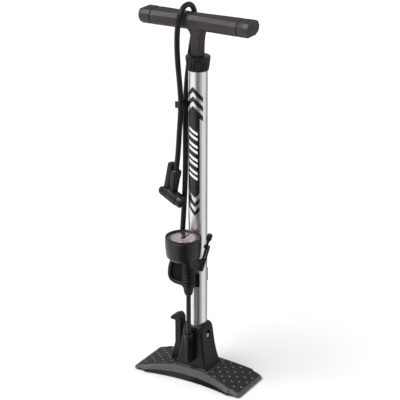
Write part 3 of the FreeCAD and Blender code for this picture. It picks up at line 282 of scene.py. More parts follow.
def shader(name, colour, roughness, metallic=0.0):
    """New node material and its main shader."""
    material = bpy.data.materials.new(name)
    material.use_nodes = True
    bsdf = material.node_tree.nodes["Principled BSDF"]
    bsdf.inputs["Base Color"].default_value = (*colour, 1)
    bsdf.inputs["Roughness"].default_value = roughness
    bsdf.inputs["Metallic"].default_value = metallic
    return material, bsdf


def noise(material, scale, detail=3.0, stretch=(1, 1, 1)):
    """Noise over the object's own frame, with an optional stretch along an axis."""
    nodes, links = material.node_tree.nodes, material.node_tree.links
    coordinates = nodes.new("ShaderNodeTexCoord")
    mapping = nodes.new("ShaderNodeMapping")
    mapping.inputs["Scale"].default_value = stretch
    texture = nodes.new("ShaderNodeTexNoise")
    texture.inputs["Scale"].default_value = scale
    texture.inputs["Detail"].default_value = detail
    links.new(coordinates.outputs["Object"], mapping.inputs["Vector"])
    links.new(mapping.outputs["Vector"], texture.inputs["Vector"])
    return texture.outputs["Fac"]


def ramp(material, source, stops):
    """Colour ramp driven by a value; stops are (position, colour) pairs."""
    node = material.node_tree.nodes.new("ShaderNodeValToRGB")
    material.node_tree.links.new(source, node.inputs["Fac"])
    elements = node.color_ramp.elements
    for element, (position, colour) in zip(elements, stops):
        element.position = position
        element.color = (*colour, 1)
    for position, colour in stops[2:]:
        elements.new(position).color = (*colour, 1)
    return node.outputs["Color"]


def spread(material, source, lowest, highest):
    """Map a noise value to a range."""
    node = material.node_tree.nodes.new("ShaderNodeMapRange")
    for socket, value in (("From Min", 0.3), ("From Max", 0.7), ("To Min", lowest),
                          ("To Max", highest)):
        node.inputs[socket].default_value = value
    material.node_tree.links.new(source, node.inputs["Value"])
    return node.outputs["Result"]


def bump(material, bsdf, source, height, strength=1.0):
    """Fine relief of a given height in metres."""
    node = material.node_tree.nodes.new("ShaderNodeBump")
    node.inputs["Strength"].default_value = strength
    node.inputs["Distance"].default_value = height
    material.node_tree.links.new(source, node.inputs["Height"])
    material.node_tree.links.new(node.outputs["Normal"], bsdf.inputs["Normal"])


def worn(material, base_colour_output, worn_colour, amount=0.5):
    """Lighten convex edges, where plastic is rubbed."""
    nodes, links = material.node_tree.nodes, material.node_tree.links
    geometry = nodes.new("ShaderNodeNewGeometry")
    edge = ramp(material, geometry.outputs["Pointiness"],
                [(0.52, (0, 0, 0)), (0.6, (amount, amount, amount))])
    mix = nodes.new("ShaderNodeMix")
    mix.data_type = "RGBA"
    links.new(edge, mix.inputs["Factor"])
    links.new(base_colour_output, mix.inputs[6])
    mix.inputs[7].default_value = (*worn_colour, 1)
    return mix.outputs[2]


def moulded(name, colour, roughness, grain=0.00003, grain_scale=1600, edge=1.8, gloss=0.3):
    """Moulded plastic or rubber: spark-eroded grain, faint mottling and rubbed edges."""
    material, bsdf = shader(name, colour, roughness)
    bsdf.inputs["Specular IOR Level"].default_value = gloss
    links = material.node_tree.links
    mottle = noise(material, 70, 4)
    dark = tuple(0.82 * part for part in colour)
    light = tuple(min(1, 1.2 * part + 0.001) for part in colour)
    body = ramp(material, mottle, [(0.3, dark), (0.7, light)])
    rubbed = tuple(min(1, edge * part + 0.008) for part in colour)
    links.new(worn(material, body, rubbed), bsdf.inputs["Base Color"])
    links.new(spread(material, noise(material, 220, 3), roughness - 0.06, roughness + 0.07),
              bsdf.inputs["Roughness"])
    bump(material, bsdf, noise(material, grain_scale, 2), grain)
    return material


def metal(name, colour, roughness, stretch=(1, 1, 1), scale=900, relief=0.000004):
    """Metal with fine drawn or turned marks."""
    material, bsdf = shader(name, colour, roughness, 1.0)
    links = material.node_tree.links
    marks = noise(material, scale, 4, stretch)
    dark = tuple(0.9 * part for part in colour)
    links.new(ramp(material, marks, [(0.35, dark), (0.65, colour)]), bsdf.inputs["Base Color"])
    links.new(spread(material, marks, roughness - 0.04, roughness + 0.05), bsdf.inputs["Roughness"])
    bump(material, bsdf, marks, relief)
    return material


def printed(name, colour, roughness):
    """Ink or vinyl film with slight unevenness; the dial's painted reflection sector uses it too."""
    material, bsdf = shader(name, colour, roughness)
    links = material.node_tree.links
    patch = noise(material, 300, 3)
    faded = tuple(min(1, 1.15 * part + 0.002) for part in colour)
    links.new(ramp(material, patch, [(0.35, colour), (0.7, faded)]), bsdf.inputs["Base Color"])
    links.new(spread(material, patch, roughness - 0.05, roughness + 0.05), bsdf.inputs["Roughness"])
    bump(material, bsdf, noise(material, 2500, 2), 0.000005)
    return material


def clear_glass(name):
    """Clear dome with faint surface waviness."""
    material, bsdf = shader(name, (1, 1, 1), 0.03)
    bsdf.inputs["Transmission Weight"].default_value = 1
    bsdf.inputs["IOR"].default_value = 1.45
    bump(material, bsdf, noise(material, 60, 2), 0.00001)
    material.node_tree.links.new(
        spread(material, noise(material, 400, 2), 0.01, 0.05), bsdf.inputs["Roughness"])
    return material


BASE_GREY = moulded("base_grey_plastic", (0.075, 0.073, 0.08), 0.42, edge=1.6)
BLACK = moulded("black_plastic", (0.005, 0.0045, 0.005), 0.4)
TOWER_BLACK = moulded("tower_plastic", (0.0048, 0.0043, 0.0046), 0.36)
BRACKET_BLACK = moulded("bracket_plastic", (0.0045, 0.0038, 0.0043), 0.3)
# Darker and duller than the bracket's own black plastic: painted shade for the web deep inside the wing's
# recess.
RECESS_PAINTED_SHADE = moulded("recess_painted_shade", (0.002, 0.0018, 0.002), 0.6, gloss=0.1)
CAP_BLACK = moulded("cap_plastic", (0.0055, 0.005, 0.0055), 0.36)
CHUCK_BLACK = moulded("chuck_plastic", (0.0052, 0.0045, 0.005), 0.34, gloss=0.4)
HANDLE_CHARCOAL = moulded("handle_plastic", (0.036, 0.0275, 0.034), 0.4, edge=1.8)
HANDLE_INLAY = moulded("handle_grip_rubber", (0.02, 0.016, 0.018), 0.62, 0.00016, 700)
TREAD = moulded("tread_rubber", (0.011, 0.01, 0.011), 0.55, 0.00005, 1100)
TREAD_BUMP = moulded("tread_bump_rubber", (0.13, 0.125, 0.13), 0.5, 0.00003, 1100)
GAUGE_CHARCOAL = moulded("gauge_plastic", (0.0085, 0.007, 0.008), 0.3, gloss=0.42)
RUBBER = moulded("black_rubber", (0.008, 0.008, 0.0085), 0.5, 0.00002, 1300)
HOSE = moulded("hose_rubber", (0.006, 0.0064, 0.006), 0.36, 0.00001, 1500)
NATURAL = moulded("natural_plastic", (0.06, 0.06, 0.06), 0.45)
ALUMINIUM = metal("barrel_aluminium", (0.9, 0.89, 0.92), 0.32, (1, 1, 0.02), 700, 0.000001)
CHROME = metal("rod_chrome", (0.82, 0.83, 0.85), 0.1, (1, 1, 0.05), 900, 0.0000005)
STEEL = metal("zinc_steel", (0.62, 0.62, 0.63), 0.3)
BRASS = metal("turned_brass", (0.72, 0.52, 0.24), 0.28, (0.1, 0.1, 1), 1500)
DECAL_BLACK = printed("decal_black", (0.006, 0.006, 0.007), 0.3)
DECAL_WHITE = printed("decal_white", (0.82, 0.82, 0.83), 0.35)
DIAL_FACE = printed("dial_silver", (0.3, 0.255, 0.27), 0.4)
DIAL_RED = printed("dial_red", (0.05, 0.004, 0.004), 0.45)
# Dark tone of the dial sector that is a painted reflection in the lens, not ink on the dial.
DIAL_PAINTED_REFLECTION = printed("dial_painted_reflection", (0.012, 0.01, 0.011), 0.45)
DIAL_BLACK = printed("dial_black", (0.008, 0.007, 0.008), 0.45)
LENS = clear_glass("gauge_lens_glass")

SLOT_MATERIAL = {
    "base_grey": BASE_GREY, "base_black": BLACK, "tower_black": TOWER_BLACK, "foot_rubber": RUBBER,
    "steel_zinc": STEEL, "tread_rubber": TREAD, "steel_black": STEEL, "barrel_aluminium": ALUMINIUM,
    "plain_plastic": NATURAL, "seal_rubber": RUBBER, "spring_steel": STEEL, "brass_part": BRASS,
    "cap_black": CAP_BLACK, "gauge_charcoal": GAUGE_CHARCOAL, "gauge_glass": LENS,
    "dial_face": DIAL_FACE, "needle_paint": DIAL_BLACK, "bracket_black": BRACKET_BLACK,
    "hose_rubber": HOSE, "chuck_black": CHUCK_BLACK, "rod_chrome": CHROME,
    "handle_charcoal": HANDLE_CHARCOAL, "handle_inlay": HANDLE_INLAY,
}


def paint_cad_nodes():
    """Node material for every CAD node, shown or not."""
    for node, obj in NODES.items():
        obj.data.materials.clear()
        obj.data.materials.append(SLOT_MATERIAL[NODE_SLOT[node]])


# ---------------------------------------------------------------- camera and studio

CAMERA_AZIMUTH = math.radians(31.0)
CAMERA_PITCH = math.radians(21.4)
CAMERA_DISTANCE = 2.236
CAMERA_HEIGHT = 1.204
CAMERA_LENS = 129.0
CAMERA_SHIFT = (0.0052, 0.0)


def make_camera():
    """Long lens at the front right, looking down at the pump."""
    data = bpy.data.cameras.new("camera")
    data.lens = CAMERA_LENS
    data.shift_x, data.shift_y = CAMERA_SHIFT
    camera = new_object("camera", data)
    camera.location = (CAMERA_DISTANCE * math.sin(CAMERA_AZIMUTH),
                       -CAMERA_DISTANCE * math.cos(CAMERA_AZIMUTH), CAMERA_HEIGHT)
    camera.rotation_euler = (math.pi / 2 - CAMERA_PITCH, 0, CAMERA_AZIMUTH)
    bpy.context.scene.camera = camera


def floor_flag(name, first_azimuth, last_azimuth, radiance):
    """Sector just above the floor, fixed in the room, that only glossy reflections see."""
    near, far, height = 0.03, 5.0, 0.4 * MM
    steps = 24
    vertices, faces = [], []
    for step in range(steps + 1):
        turn = math.radians(first_azimuth + (last_azimuth - first_azimuth) * step / steps)
        outward = Vector((math.sin(turn), -math.cos(turn), 0))
        vertices += [outward * near + UP * height, outward * far + UP * height]
    for step in range(steps):
        faces.append((2 * step, 2 * step + 1, 2 * step + 3, 2 * step + 2))
    mesh = bpy.data.meshes.new(name)
    mesh.from_pydata(vertices, [], faces)
    flag = new_object(name, mesh)
    material = bpy.data.materials.new(name)
    material.use_nodes = True
    nodes, links = material.node_tree.nodes, material.node_tree.links
    glow = nodes.new("ShaderNodeEmission")
    glow.inputs["Color"].default_value = (1, 1, 1, 1)
    glow.inputs["Strength"].default_value = radiance
    links.new(glow.outputs["Emission"], nodes["Material Output"].inputs["Surface"])
    mesh.materials.append(material)
    for ray in ("camera", "diffuse", "shadow", "transmission"):
        setattr(flag, "visible_" + ray, False)


FLOOR_FLAGS = (("flag_turn", 0, 16, 0.2), ("flag_front", 16, 52, 0.03), ("flag_side", 52, 78, 0.4),
               ("flag_right", 78, 134, 0.85), ("flag_back", 134, 246, 0.3))
WORLD_LIGHT = 0.5
SUN_LIGHT = 2.6
SUN_WIDTH = 40
SUN_DIRECTION = Vector((0.35, 0.55, -1))
FLOOR_REACH = 14


def make_world():
    """White surroundings, dimmer for light and reflections than they look."""
    world = bpy.data.worlds.new("studio")
    bpy.context.scene.world = world
    world.use_nodes = True
    nodes, links = world.node_tree.nodes, world.node_tree.links
    background = nodes["Background"]
    background.inputs["Color"].default_value = (1, 1, 1, 1)
    path = nodes.new("ShaderNodeLightPath")
    strength = nodes.new("ShaderNodeMapRange")
    strength.inputs["To Min"].default_value = WORLD_LIGHT
    strength.inputs["To Max"].default_value = 1.0
    links.new(path.outputs["Is Camera Ray"], strength.inputs["Value"])
    links.new(strength.outputs["Result"], background.inputs["Strength"])


def make_studio():
    """Pale floor, white surroundings, one broad light and the floor flags for reflections."""
    mesh = bpy.data.meshes.new("floor")
    corners = ((-1, -1), (1, -1), (1, 1), (-1, 1))
    mesh.from_pydata([(x * FLOOR_REACH, y * FLOOR_REACH, 0) for x, y in corners], [], [(0, 1, 2, 3)])
    floor = new_object("floor", mesh)
    material, bsdf = shader("pale_floor", (0.9, 0.9, 0.9), 0.8)
    bsdf.inputs["Specular IOR Level"].default_value = 0.1
    tone = ramp(material, noise(material, 3, 2), [(0.3, (0.9, 0.9, 0.9)), (0.7, (0.92, 0.92, 0.92))])
    material.node_tree.links.new(tone, bsdf.inputs["Base Color"])
    mesh.materials.append(material)
    make_world()
    data = bpy.data.lights.new("broad_light", "SUN")
    data.energy = SUN_LIGHT
    data.angle = math.radians(SUN_WIDTH)
    light = new_object("broad_light", data)
    light.rotation_euler = SUN_DIRECTION.to_track_quat("-Z", "Y").to_euler()
    for flag in FLOOR_FLAGS:
        floor_flag(*flag)
    bpy.context.scene.view_settings.view_transform = "Standard"


# ---------------------------------------------------------------- hoses

HOSE_RADIUS = 4.5 * MM
HOSE_ROUTE = [Vector(point) * MM for point in (
    (-22, -16, 230), (-22.3, -14.5, 262), (-22.9, -6.5, 318), (-22.4, -2.8, 378), (-22.6, -2.3, 438),
    (-22.9, -1.5, 494), (-23.4, 4, 534), (-24, 14.5, 572), (-22, 23, 610), (-20.5, 26, 641),
    (-20, 12, 659), (-20, -12, 659), (-20.5, -26, 641), (-24.5, -25, 610), (-26, -21, 572),
    (-24.5, -16.5, 530), (-23, -14.6, 494), (-27, -15.5, 440), (-31.2, -11.8, 407),
    (-34.16, -14.54, 371.41))]


def smooth_line(points):
    """Points along the NURBS curve that has these control points."""
    curve = bpy.data.curves.new("route", "CURVE")
    curve.dimensions = "3D"
    curve.resolution_u = 14
    spline = curve.splines.new("NURBS")
    spline.points.add(len(points) - 1)
    for target, point in zip(spline.points, points):
        target.co = (*point, 1)
    spline.order_u = 3
    spline.use_endpoint_u = True
    return [vertex.co.copy() for vertex in curve_mesh(curve).vertices]


def tangent_at(line, number):
    """Direction of a line at one of its points."""
    return (line[min(number + 1, len(line) - 1)] - line[max(number - 1, 0)]).normalized()


def tube(name, line, radius, sides=24):
    """Round tube along a line, with its section carried along without twist."""
    rings = []
    across = Vector((1, 0, 0))
    for number, point in enumerate(line):
        tangent = tangent_at(line, number)
        across = (across - tangent * across.dot(tangent)).normalized()
        upward = tangent.cross(across)
        rings.append([point + radius * (across * math.cos(turn) + upward * math.sin(turn))
                      for turn in turns(sides)])
    return skin(name, rings, sharp_angle=50)


def make_main_hose():
    """Main hose: up from the ferrule, over the handle and down to the chuck."""
    line = smooth_line(HOSE_ROUTE)
    hose = tube("main_hose_piece", line, HOSE_RADIUS)
    hose.data.materials.append(HOSE)
    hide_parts("main_hose")
    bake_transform(hose)
    return hose, line


def make_lower_hose():
    """Short straight hose between the socket and the gauge manifold."""
    node = "lower_hose"
    bottom, top, radius = low(node).z, high(node).z, radius_of(node)
    profile = [(0, bottom), (radius, bottom), (radius, top), (0, top)]
    place(turned(node + "_piece", profile, axis_of(node), 40), node, HOSE)


# ---------------------------------------------------------------- foot base


class Arch:
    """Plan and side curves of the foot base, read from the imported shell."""

    reach = high("base_shell").x
    crown = high("base_shell").z
    depth_end = high("base_shell").y
    under_end = low("base_shell").z
    tab_start = reach - 20.5 * MM
    depth_centre = depth_end - 10 * MM
    end_height = 6 * MM
    under_crown = crown - 11 * MM

    @classmethod
    def arc(cls, x, crown, end):
        """Height of the circle that falls from a crown to an end height over the base's reach."""
        drop = crown - end
        radius = (cls.reach ** 2 + drop ** 2) / (2 * drop)
        return crown - radius + math.sqrt(radius ** 2 - x ** 2)

    @classmethod
    def top(cls, x):
        """Height of the top surface."""
        return cls.arc(x, cls.crown, cls.end_height)

    @classmethod
    def under(cls, x):
        """Height of the rim's lower edge."""
        return cls.arc(x, cls.under_crown, cls.under_end)

    @classmethod
    def rim(cls, x):
        """Half depth of the rim's outer edge, with narrower end tabs and rounded corners."""
        x = abs(x)
        rise = cls.depth_end - cls.depth_centre
        radius = (cls.tab_start ** 2 + rise ** 2) / (2 * rise)
        waist = cls.depth_centre + radius - math.sqrt(radius ** 2 - min(x, cls.tab_start) ** 2)
        step = max(0.0, min(1.0, (x - cls.tab_start) / (1.2 * MM))) * 3 * MM
        corner = 9 * MM
        into_corner = max(0.0, (x - (cls.reach - corner)) / corner)
        rounding = corner * (1 - math.sqrt(max(0.0, 1 - into_corner ** 2)))
        return waist - step - 0.55 * rounding

    @classmethod
    def ridge(cls, x):
        """Half depth of the upper ridge, inside the bevelled rim."""
        share = abs(x) / cls.reach
        return cls.rim(x) - (5.5 - 2.2 * share) * MM


def base_stations():
    """Places along the base where cross-sections stand, denser at the steps and corners."""
    half = [0.1 * step * Arch.tab_start for step in range(10)]
    half += [Arch.tab_start - 0.1 * MM, Arch.tab_start + 0.4 * MM, Arch.tab_start + 0.8 * MM,
             Arch.tab_start + 1.3 * MM]
    half += [Arch.reach - step * MM for step in (12, 9, 7.5, 6, 4.5, 3.2, 2.1, 1.2, 0.5, 0.1)]
    half = sorted(set(round(value, 6) for value in half))
    return [-value for value in reversed(half[1:])] + half


def make_base_shell():
    """Arched top plate with its flared, bevelled rim."""
    rings = []
    for x in base_stations():
        top, under, rim, ridge = Arch.top(x), Arch.under(x), Arch.rim(x), Arch.ridge(x)
        fade = max(0.0, (abs(x) - Arch.reach + 2.5 * MM) / (2.5 * MM)) * 1.4 * MM
        thick = top - under
        half = [(rim - 1.4 * MM, under), (rim - 0.3 * MM, under + 0.25 * MM),
                (rim, under + 0.1 * thick), (rim - 0.25 * (rim - ridge), under + 0.34 * thick),
                (ridge + 0.9 * MM, top - 0.14 * thick - fade), (ridge, top - fade),
                (ridge - 1.1 * MM, top + 0.15 * MM - fade), (ridge - 2.8 * MM, top - fade)]
        rings.append(mirrored(x, half))
    place(skin("base_shell_piece", rings, sharp_angle=28), "base_shell", BASE_GREY)


def make_base_skirt():
    """Black wall under the rim, set in from it."""
    inset = 3.2 * MM
    foot = low("base_skirt").z
    rings = []
    for x in base_stations():
        x_in = x * (Arch.reach - inset) / Arch.reach
        half_depth = Arch.rim(x) - inset
        half = [(half_depth - 1 * MM, foot), (half_depth, foot + 0.8 * MM),
                (half_depth, Arch.under(x_in) + 1.2 * MM)]
        rings.append(mirrored(x_in, half))
    place(skin("base_skirt_piece", rings, sharp_angle=40), "base_skirt", BLACK)


def tread_half_depth(x):
    """Half depth of the tread sheet inside the ridge."""
    return Arch.ridge(x) - 3.2 * MM


def make_tread(node, side):
    """Tread sheet on one side of the socket, with its raised bumps."""
    near = min(abs(low(node).x), abs(high(node).x))
    far = max(abs(low(node).x), abs(high(node).x)) - 0.8 * MM
    thick = 1.0 * MM
    rings = []
    steps = 26
    for step in range(steps + 1):
        x = near + (far - near) * step / steps
        edge = min(1.0, min(x - near, far - x) / (1.0 * MM))
        depth = tread_half_depth(x) - (1 - edge) * 0.8 * MM
        surface = Arch.top(x)
        rise = thick * (0.35 + 0.65 * edge)
        half = [(depth, surface - 0.6 * MM), (depth, surface + 0.5 * rise),
                (depth - 0.5 * MM, surface + rise)]
        rings.append(mirrored(side * x, half))
    place(skin(node + "_piece", rings, sharp_angle=30), node, TREAD)
    bumps = make_bumps(node, side, near, far, thick)
    trim(bumps, node, TREAD_BUMP)


def make_bumps(node, side, near, far, thick):
    """Diamond grid of small domes."""
    pitch = 9.6 * MM
    radius, height = 2.0 * MM, 1.1 * MM
    domes = []
    columns = int((far - near - 5 * MM) / pitch) + 1
    for column in range(columns):
        x = near + 5 * MM + column * pitch
        rows = (-3, -1, 1, 3) if column % 2 else (-2, 0, 2, -4, 4)
        for row in rows:
            y = row * pitch
            if abs(y) > tread_half_depth(x) - 3.2 * MM:
                continue
            profile = [(radius * math.sin(turn), height * math.cos(turn))
                       for turn in [math.pi / 2 * step / 5 for step in range(6)]]
            rings = [[Vector((side * x + r * math.cos(a), y + r * math.sin(a),
                              Arch.top(x) + thick - 0.1 * MM + z)) for a in turns(20)]
                     for r, z in [(radius, -0.5 * MM)] + list(reversed(profile))]
            for ring in rings:
                for point in ring:
                    point.z += Arch.top(abs(point.x)) - Arch.top(x)
            domes.append(skin("bump", rings, capped=False, sharp_angle=60))
    return join(node + "_bumps", domes)


# ---------------------------------------------------------------- barrel socket

TOWER_SECTIONS = [(5.5, 32, 25, 4), (24, 32, 25, 4), (27, 30.4, 24.4, 4), (36, 28, 23.3, 4),
                  (45, 25.8, 22.4, 4), (58, 23.4, 21.5, 4), (74, 21.6, 20.6, 4.4), (88, 20.6, 20.3, 6),
                  (96, 20.1, 20.1, 9), (100.5, 19.7, 19.7, 13), (103, 19.3, 19.3, 16),
                  (104.3, 18.6, 18.6, 16.6), (105, 17.6, 17.6, 16.8), (104.8, 16.4, 16.4, 16)]
RIM_START, RIM_DIP = 92, 5.0


def rim_height(x, height):
    """Height of a point of the socket, whose rim dips at the front and the back."""
    share = min(1.0, max(0.0, (height - RIM_START) / (105 - RIM_START)))
    return height - RIM_DIP * share * (1 - min(1.0, abs(x) / 18.5) ** 2)


def make_tower():
    """Flared socket with its hose boss, screw recess and foot flange."""
    rings = []
    for height, half_x, half_y, corner in TOWER_SECTIONS:
        loop = rounded_loop(half_x, half_y, corner)
        rings.append([Vector((x, y, rim_height(x, height))) * MM for x, y in loop])
    socket = skin("socket", rings, sharp_angle=24)
    recess_centre = middle("socket_screw")
    for radius, lift in ((5.6, 0.6), (5.0, 5.4)):
        recess = turned("recess", [(0, 0), (radius * MM, 0), (radius * MM, 11 * MM), (0, 11 * MM)],
                        segments=48)
        recess.matrix_world = Matrix.Translation(
            (low("socket_screw").x, recess_centre.y, recess_centre.z + lift * MM)) @ Matrix.Rotation(
                math.pi / 2, 4, "Y")
        carve(socket, recess)
    boss_y = middle("lower_hose").y
    boss_top = 91 * MM
    radius = 7.5 * MM
    profile = [(0, 36 * MM)] + [(radius * math.sin(turn), 43.5 * MM - radius * math.cos(turn))
                                for turn in [math.pi / 2 * step / 7 for step in range(1, 8)]]
    profile += raised(boss_top, ((0, -9), (0.6, -8), (0.6, -1), (-0.2, 0)), radius)
    profile += raised(boss_top, ((4.4, 0), (4.4, -2), (0, -2)))
    boss = turned("boss", profile, (0, boss_y), 56)
    web_y, web_half = (boss_y - 17 * MM) / 2, abs(boss_y + 17 * MM) / 2
    web = stacked("web", [(z, rounded_loop_at(0, web_y, half * MM, web_half, 1.2 * MM))
                          for half, z in ((7.4, 40 * MM), (7.2, 62 * MM), (5.4, boss_top - 8 * MM))])
    flange = stacked("flange", [(z * MM, rounded_loop(half_x * MM, half_y * MM, 5 * MM))
                                for z, half_x, half_y in ((22, 33.2, 26.2), (25.6, 33.2, 26.2),
                                                          (26.4, 32.4, 25.4))])
    place(join("tower_piece", [socket, boss, flange, web]), "tower", TOWER_BLACK)
    place(softened("socket_screw", 0.3 * MM), "socket_screw", STEEL)
    place(softened("chuck_hook", 1.6 * MM, 3), "chuck_hook", TOWER_BLACK)


def rounded_loop_at(centre_x, centre_y, half_x, half_y, corner):
    """Rounded rectangle about a centre."""
    return [(centre_x + x, centre_y + y) for x, y in rounded_loop(half_x, half_y, corner, 4)]


def carve(obj, tool):
    """Take a tool's shape out of an object and delete the tool."""
    modifier = obj.modifiers.new("carve", "BOOLEAN")
    modifier.operation = "DIFFERENCE"
    modifier.object = tool
    modifier.solver = "EXACT"
    apply_modifiers(obj)
    bpy.data.objects.remove(tool)
    finish_mesh(obj.data, 30)


# ---------------------------------------------------------------- barrel and decals


def make_barrel():
    """Polished tube."""
    outer = high("barrel_tube").x
    bottom, top = low("barrel_tube").z, high("barrel_tube").z
    inner = outer - 1.4 * MM
    piece = turned("barrel_piece", [(inner, bottom), (outer, bottom), (outer, top), (inner, top),
                                    (inner, bottom)], segments=160)
    place(piece, "barrel_tube", ALUMINIUM)


def wrapped(name, outlines, material, lift=0.06 * MM):
    """Thin film on the barrel; outlines are (arc, height) corners, the arc measured from -Y."""
    outer = high("barrel_tube").x + lift
    films = []
    for number, outline in enumerate(outlines):
        work = bmesh.new()
        work.faces.new([work.verts.new((arc, height, 0)) for arc, height in outline])
        step = 1.0 * MM
        arcs = [arc for arc, _ in outline]
        cut_at = math.ceil(min(arcs) / step) * step
        while cut_at < max(arcs):
            geometry = work.verts[:] + work.edges[:] + work.faces[:]
            bmesh.ops.bisect_plane(work, geom=geometry, plane_co=(cut_at, 0, 0),
                                   plane_no=(1, 0, 0), dist=1e-7)
            cut_at += step
        bmesh.ops.triangulate(work, faces=work.faces)
        for vertex in work.verts:
            angle = vertex.co.x / outer
            vertex.co = (outer * math.sin(angle), -outer * math.cos(angle), vertex.co.y)
        mesh = bpy.data.meshes.new(f"{name}_{number}")
        work.to_mesh(mesh)
        work.free()
        film = new_object(f"{name}_{number}", mesh)
        thicken = film.modifiers.new("film", "SOLIDIFY")
        thicken.thickness = 0.05 * MM
        thicken.offset = 1
        apply_modifiers(film)
        films.append(film)
    sheet = join(name, films)
    shade_smooth(sheet.data)
    sheet.data.set_sharp_from_angle(angle=math.radians(40))
    trim(sheet, "barrel_tube", material)


CHEVRON_HALF = 17.6 * MM
PANEL_HALF = 11.6 * MM
CHEVRON_DROP = 18 * MM
CHEVRON_STROKE = 8.6 * MM
APEXES = (529.5 * MM, 513.5 * MM)
PANEL_APEX = 497.5 * MM
PANEL_TIP = 337 * MM
LOWER_TIPS = (320.5 * MM, 305 * MM)
TIP_ARC = 3.2 * MM
LEFT_RISE, RIGHT_RISE = PANEL_HALF + TIP_ARC + 2 * MM, PANEL_HALF - TIP_ARC + 0.6 * MM


def chevron(apex):
    """Upward chevron stroke with upright ends."""
    foot = apex - CHEVRON_DROP
    return [(-CHEVRON_HALF, foot - CHEVRON_STROKE), (0, apex - CHEVRON_STROKE),
            (CHEVRON_HALF, foot - CHEVRON_STROKE), (CHEVRON_HALF, foot), (0, apex),
            (-CHEVRON_HALF, foot)]


def lower_chevron(tip):
    """Downward chevron stroke as wide as the panel."""
    stroke = 8 * MM
    return [(TIP_ARC, tip), (PANEL_HALF, tip + RIGHT_RISE), (PANEL_HALF, tip + RIGHT_RISE + stroke),
            (TIP_ARC, tip + stroke), (-PANEL_HALF, tip + LEFT_RISE + stroke),
            (-PANEL_HALF, tip + LEFT_RISE)]


def panel():
    """Dark panel with an arrow head above and a point below."""
    shoulder = PANEL_APEX - CHEVRON_DROP
    barb = shoulder - CHEVRON_STROKE
    return [(TIP_ARC, PANEL_TIP), (PANEL_HALF, PANEL_TIP + RIGHT_RISE), (PANEL_HALF, barb + 4.5 * MM),
            (CHEVRON_HALF, barb), (CHEVRON_HALF, shoulder), (0, PANEL_APEX),
            (-CHEVRON_HALF, shoulder), (-CHEVRON_HALF, barb), (-PANEL_HALF, barb + 4.5 * MM),
            (-PANEL_HALF, PANEL_TIP + LEFT_RISE)]


def slanted_bars():
    """Pairs of plain slanted bars inside the panel."""
    bars = []
    top, pair_pitch, bar_pitch = 461 * MM, 23 * MM, 9.5 * MM
    half_arc, slope, thick = 8.2 * MM, 0.58, 4.8 * MM
    for pair in range(4):
        for bar in range(2):
            start = top - pair * pair_pitch - bar * bar_pitch
            fall = 2 * half_arc * slope
            bars.append([(-half_arc, start), (-half_arc, start - thick),
                         (half_arc, start - thick - fall), (half_arc, start - fall)])
    return bars


def make_decals():
    """Dark arrows and panel, and the plain bars over the panel."""
    dark = [chevron(apex) for apex in APEXES] + [panel()] + [lower_chevron(tip) for tip in LOWER_TIPS]
    wrapped("decal_dark", dark, DECAL_BLACK)
    wrapped("decal_bars", slanted_bars(), DECAL_WHITE, 0.13 * MM)


def make_cap():
    """Fluted cap at the top of the barrel."""
    bottom, top = low("barrel_cap").z, high("barrel_cap").z
    wide = high("barrel_cap").x
    narrow = wide - 2.6 * MM
    profile = raised(bottom, ((16.05, 0.4, 0),))
    profile += raised(bottom, ((-1.6, 0, 0), (-0.4, 0.5, 0.1), (0, 1.8, 0.7), (0.6, 5, 1), (1.3, 10, 1),
                               (2.1, 16, 1)), narrow)
    profile += raised(bottom, ((-0.2, 18.5, 0.5), (0, 19.5, 0)), wide)
    profile += raised(top, ((0, -1.8, 0), (-0.5, -0.5, 0), (-1.5, 0, 0)), wide)
    profile += raised(top, ((11, -0.1, 0), (10.6, -0.6, 0), (8.1, -0.6, 0)))
    piece = knurled("barrel_cap_piece", profile, (0, 0), 20, 1.25 * MM, 12, 0.55, 42)
    place(piece, "barrel_cap", CAP_BLACK)


# ---------------------------------------------------------------- handle


def bar_profile(share):
    """Half cross-section of the bar, from the top centre round to the bottom, in millimetres."""
    top = 9 + 5 * share
    ridge = 15 + 4.5 * share
    lower = 9.5 + 2.5 * share
    return [(top, 646.2), (top + 1, 645.7), (ridge - 0.7, 640.0), (ridge - 0.1, 639.2), (ridge, 638.2),
            (ridge - 0.1, 634), (ridge - 0.7, 631.5), ((lower + ridge) / 2 + 1.2, 626.6),
            (lower + 0.9, 622.7), (lower - 0.9, 622)]


BAR_MIDDLE = Vector((0, 634.5))
GROOVE_DEPTH = 0.93


def bar_ring(x, share, shrink=1.0):
    """Full cross-section of the bar; x is a distance or a function of depth and height."""
    half = bar_profile(share)
    ring = []
    for y, z in half + [(-y, z) for y, z in reversed(half)]:
        y, z = y * shrink, BAR_MIDDLE.y + (z - BAR_MIDDLE.y) * shrink
        place_x = x(y, z) if callable(x) else x
        ring.append(Vector((place_x, y * MM, z * MM)))
    return ring


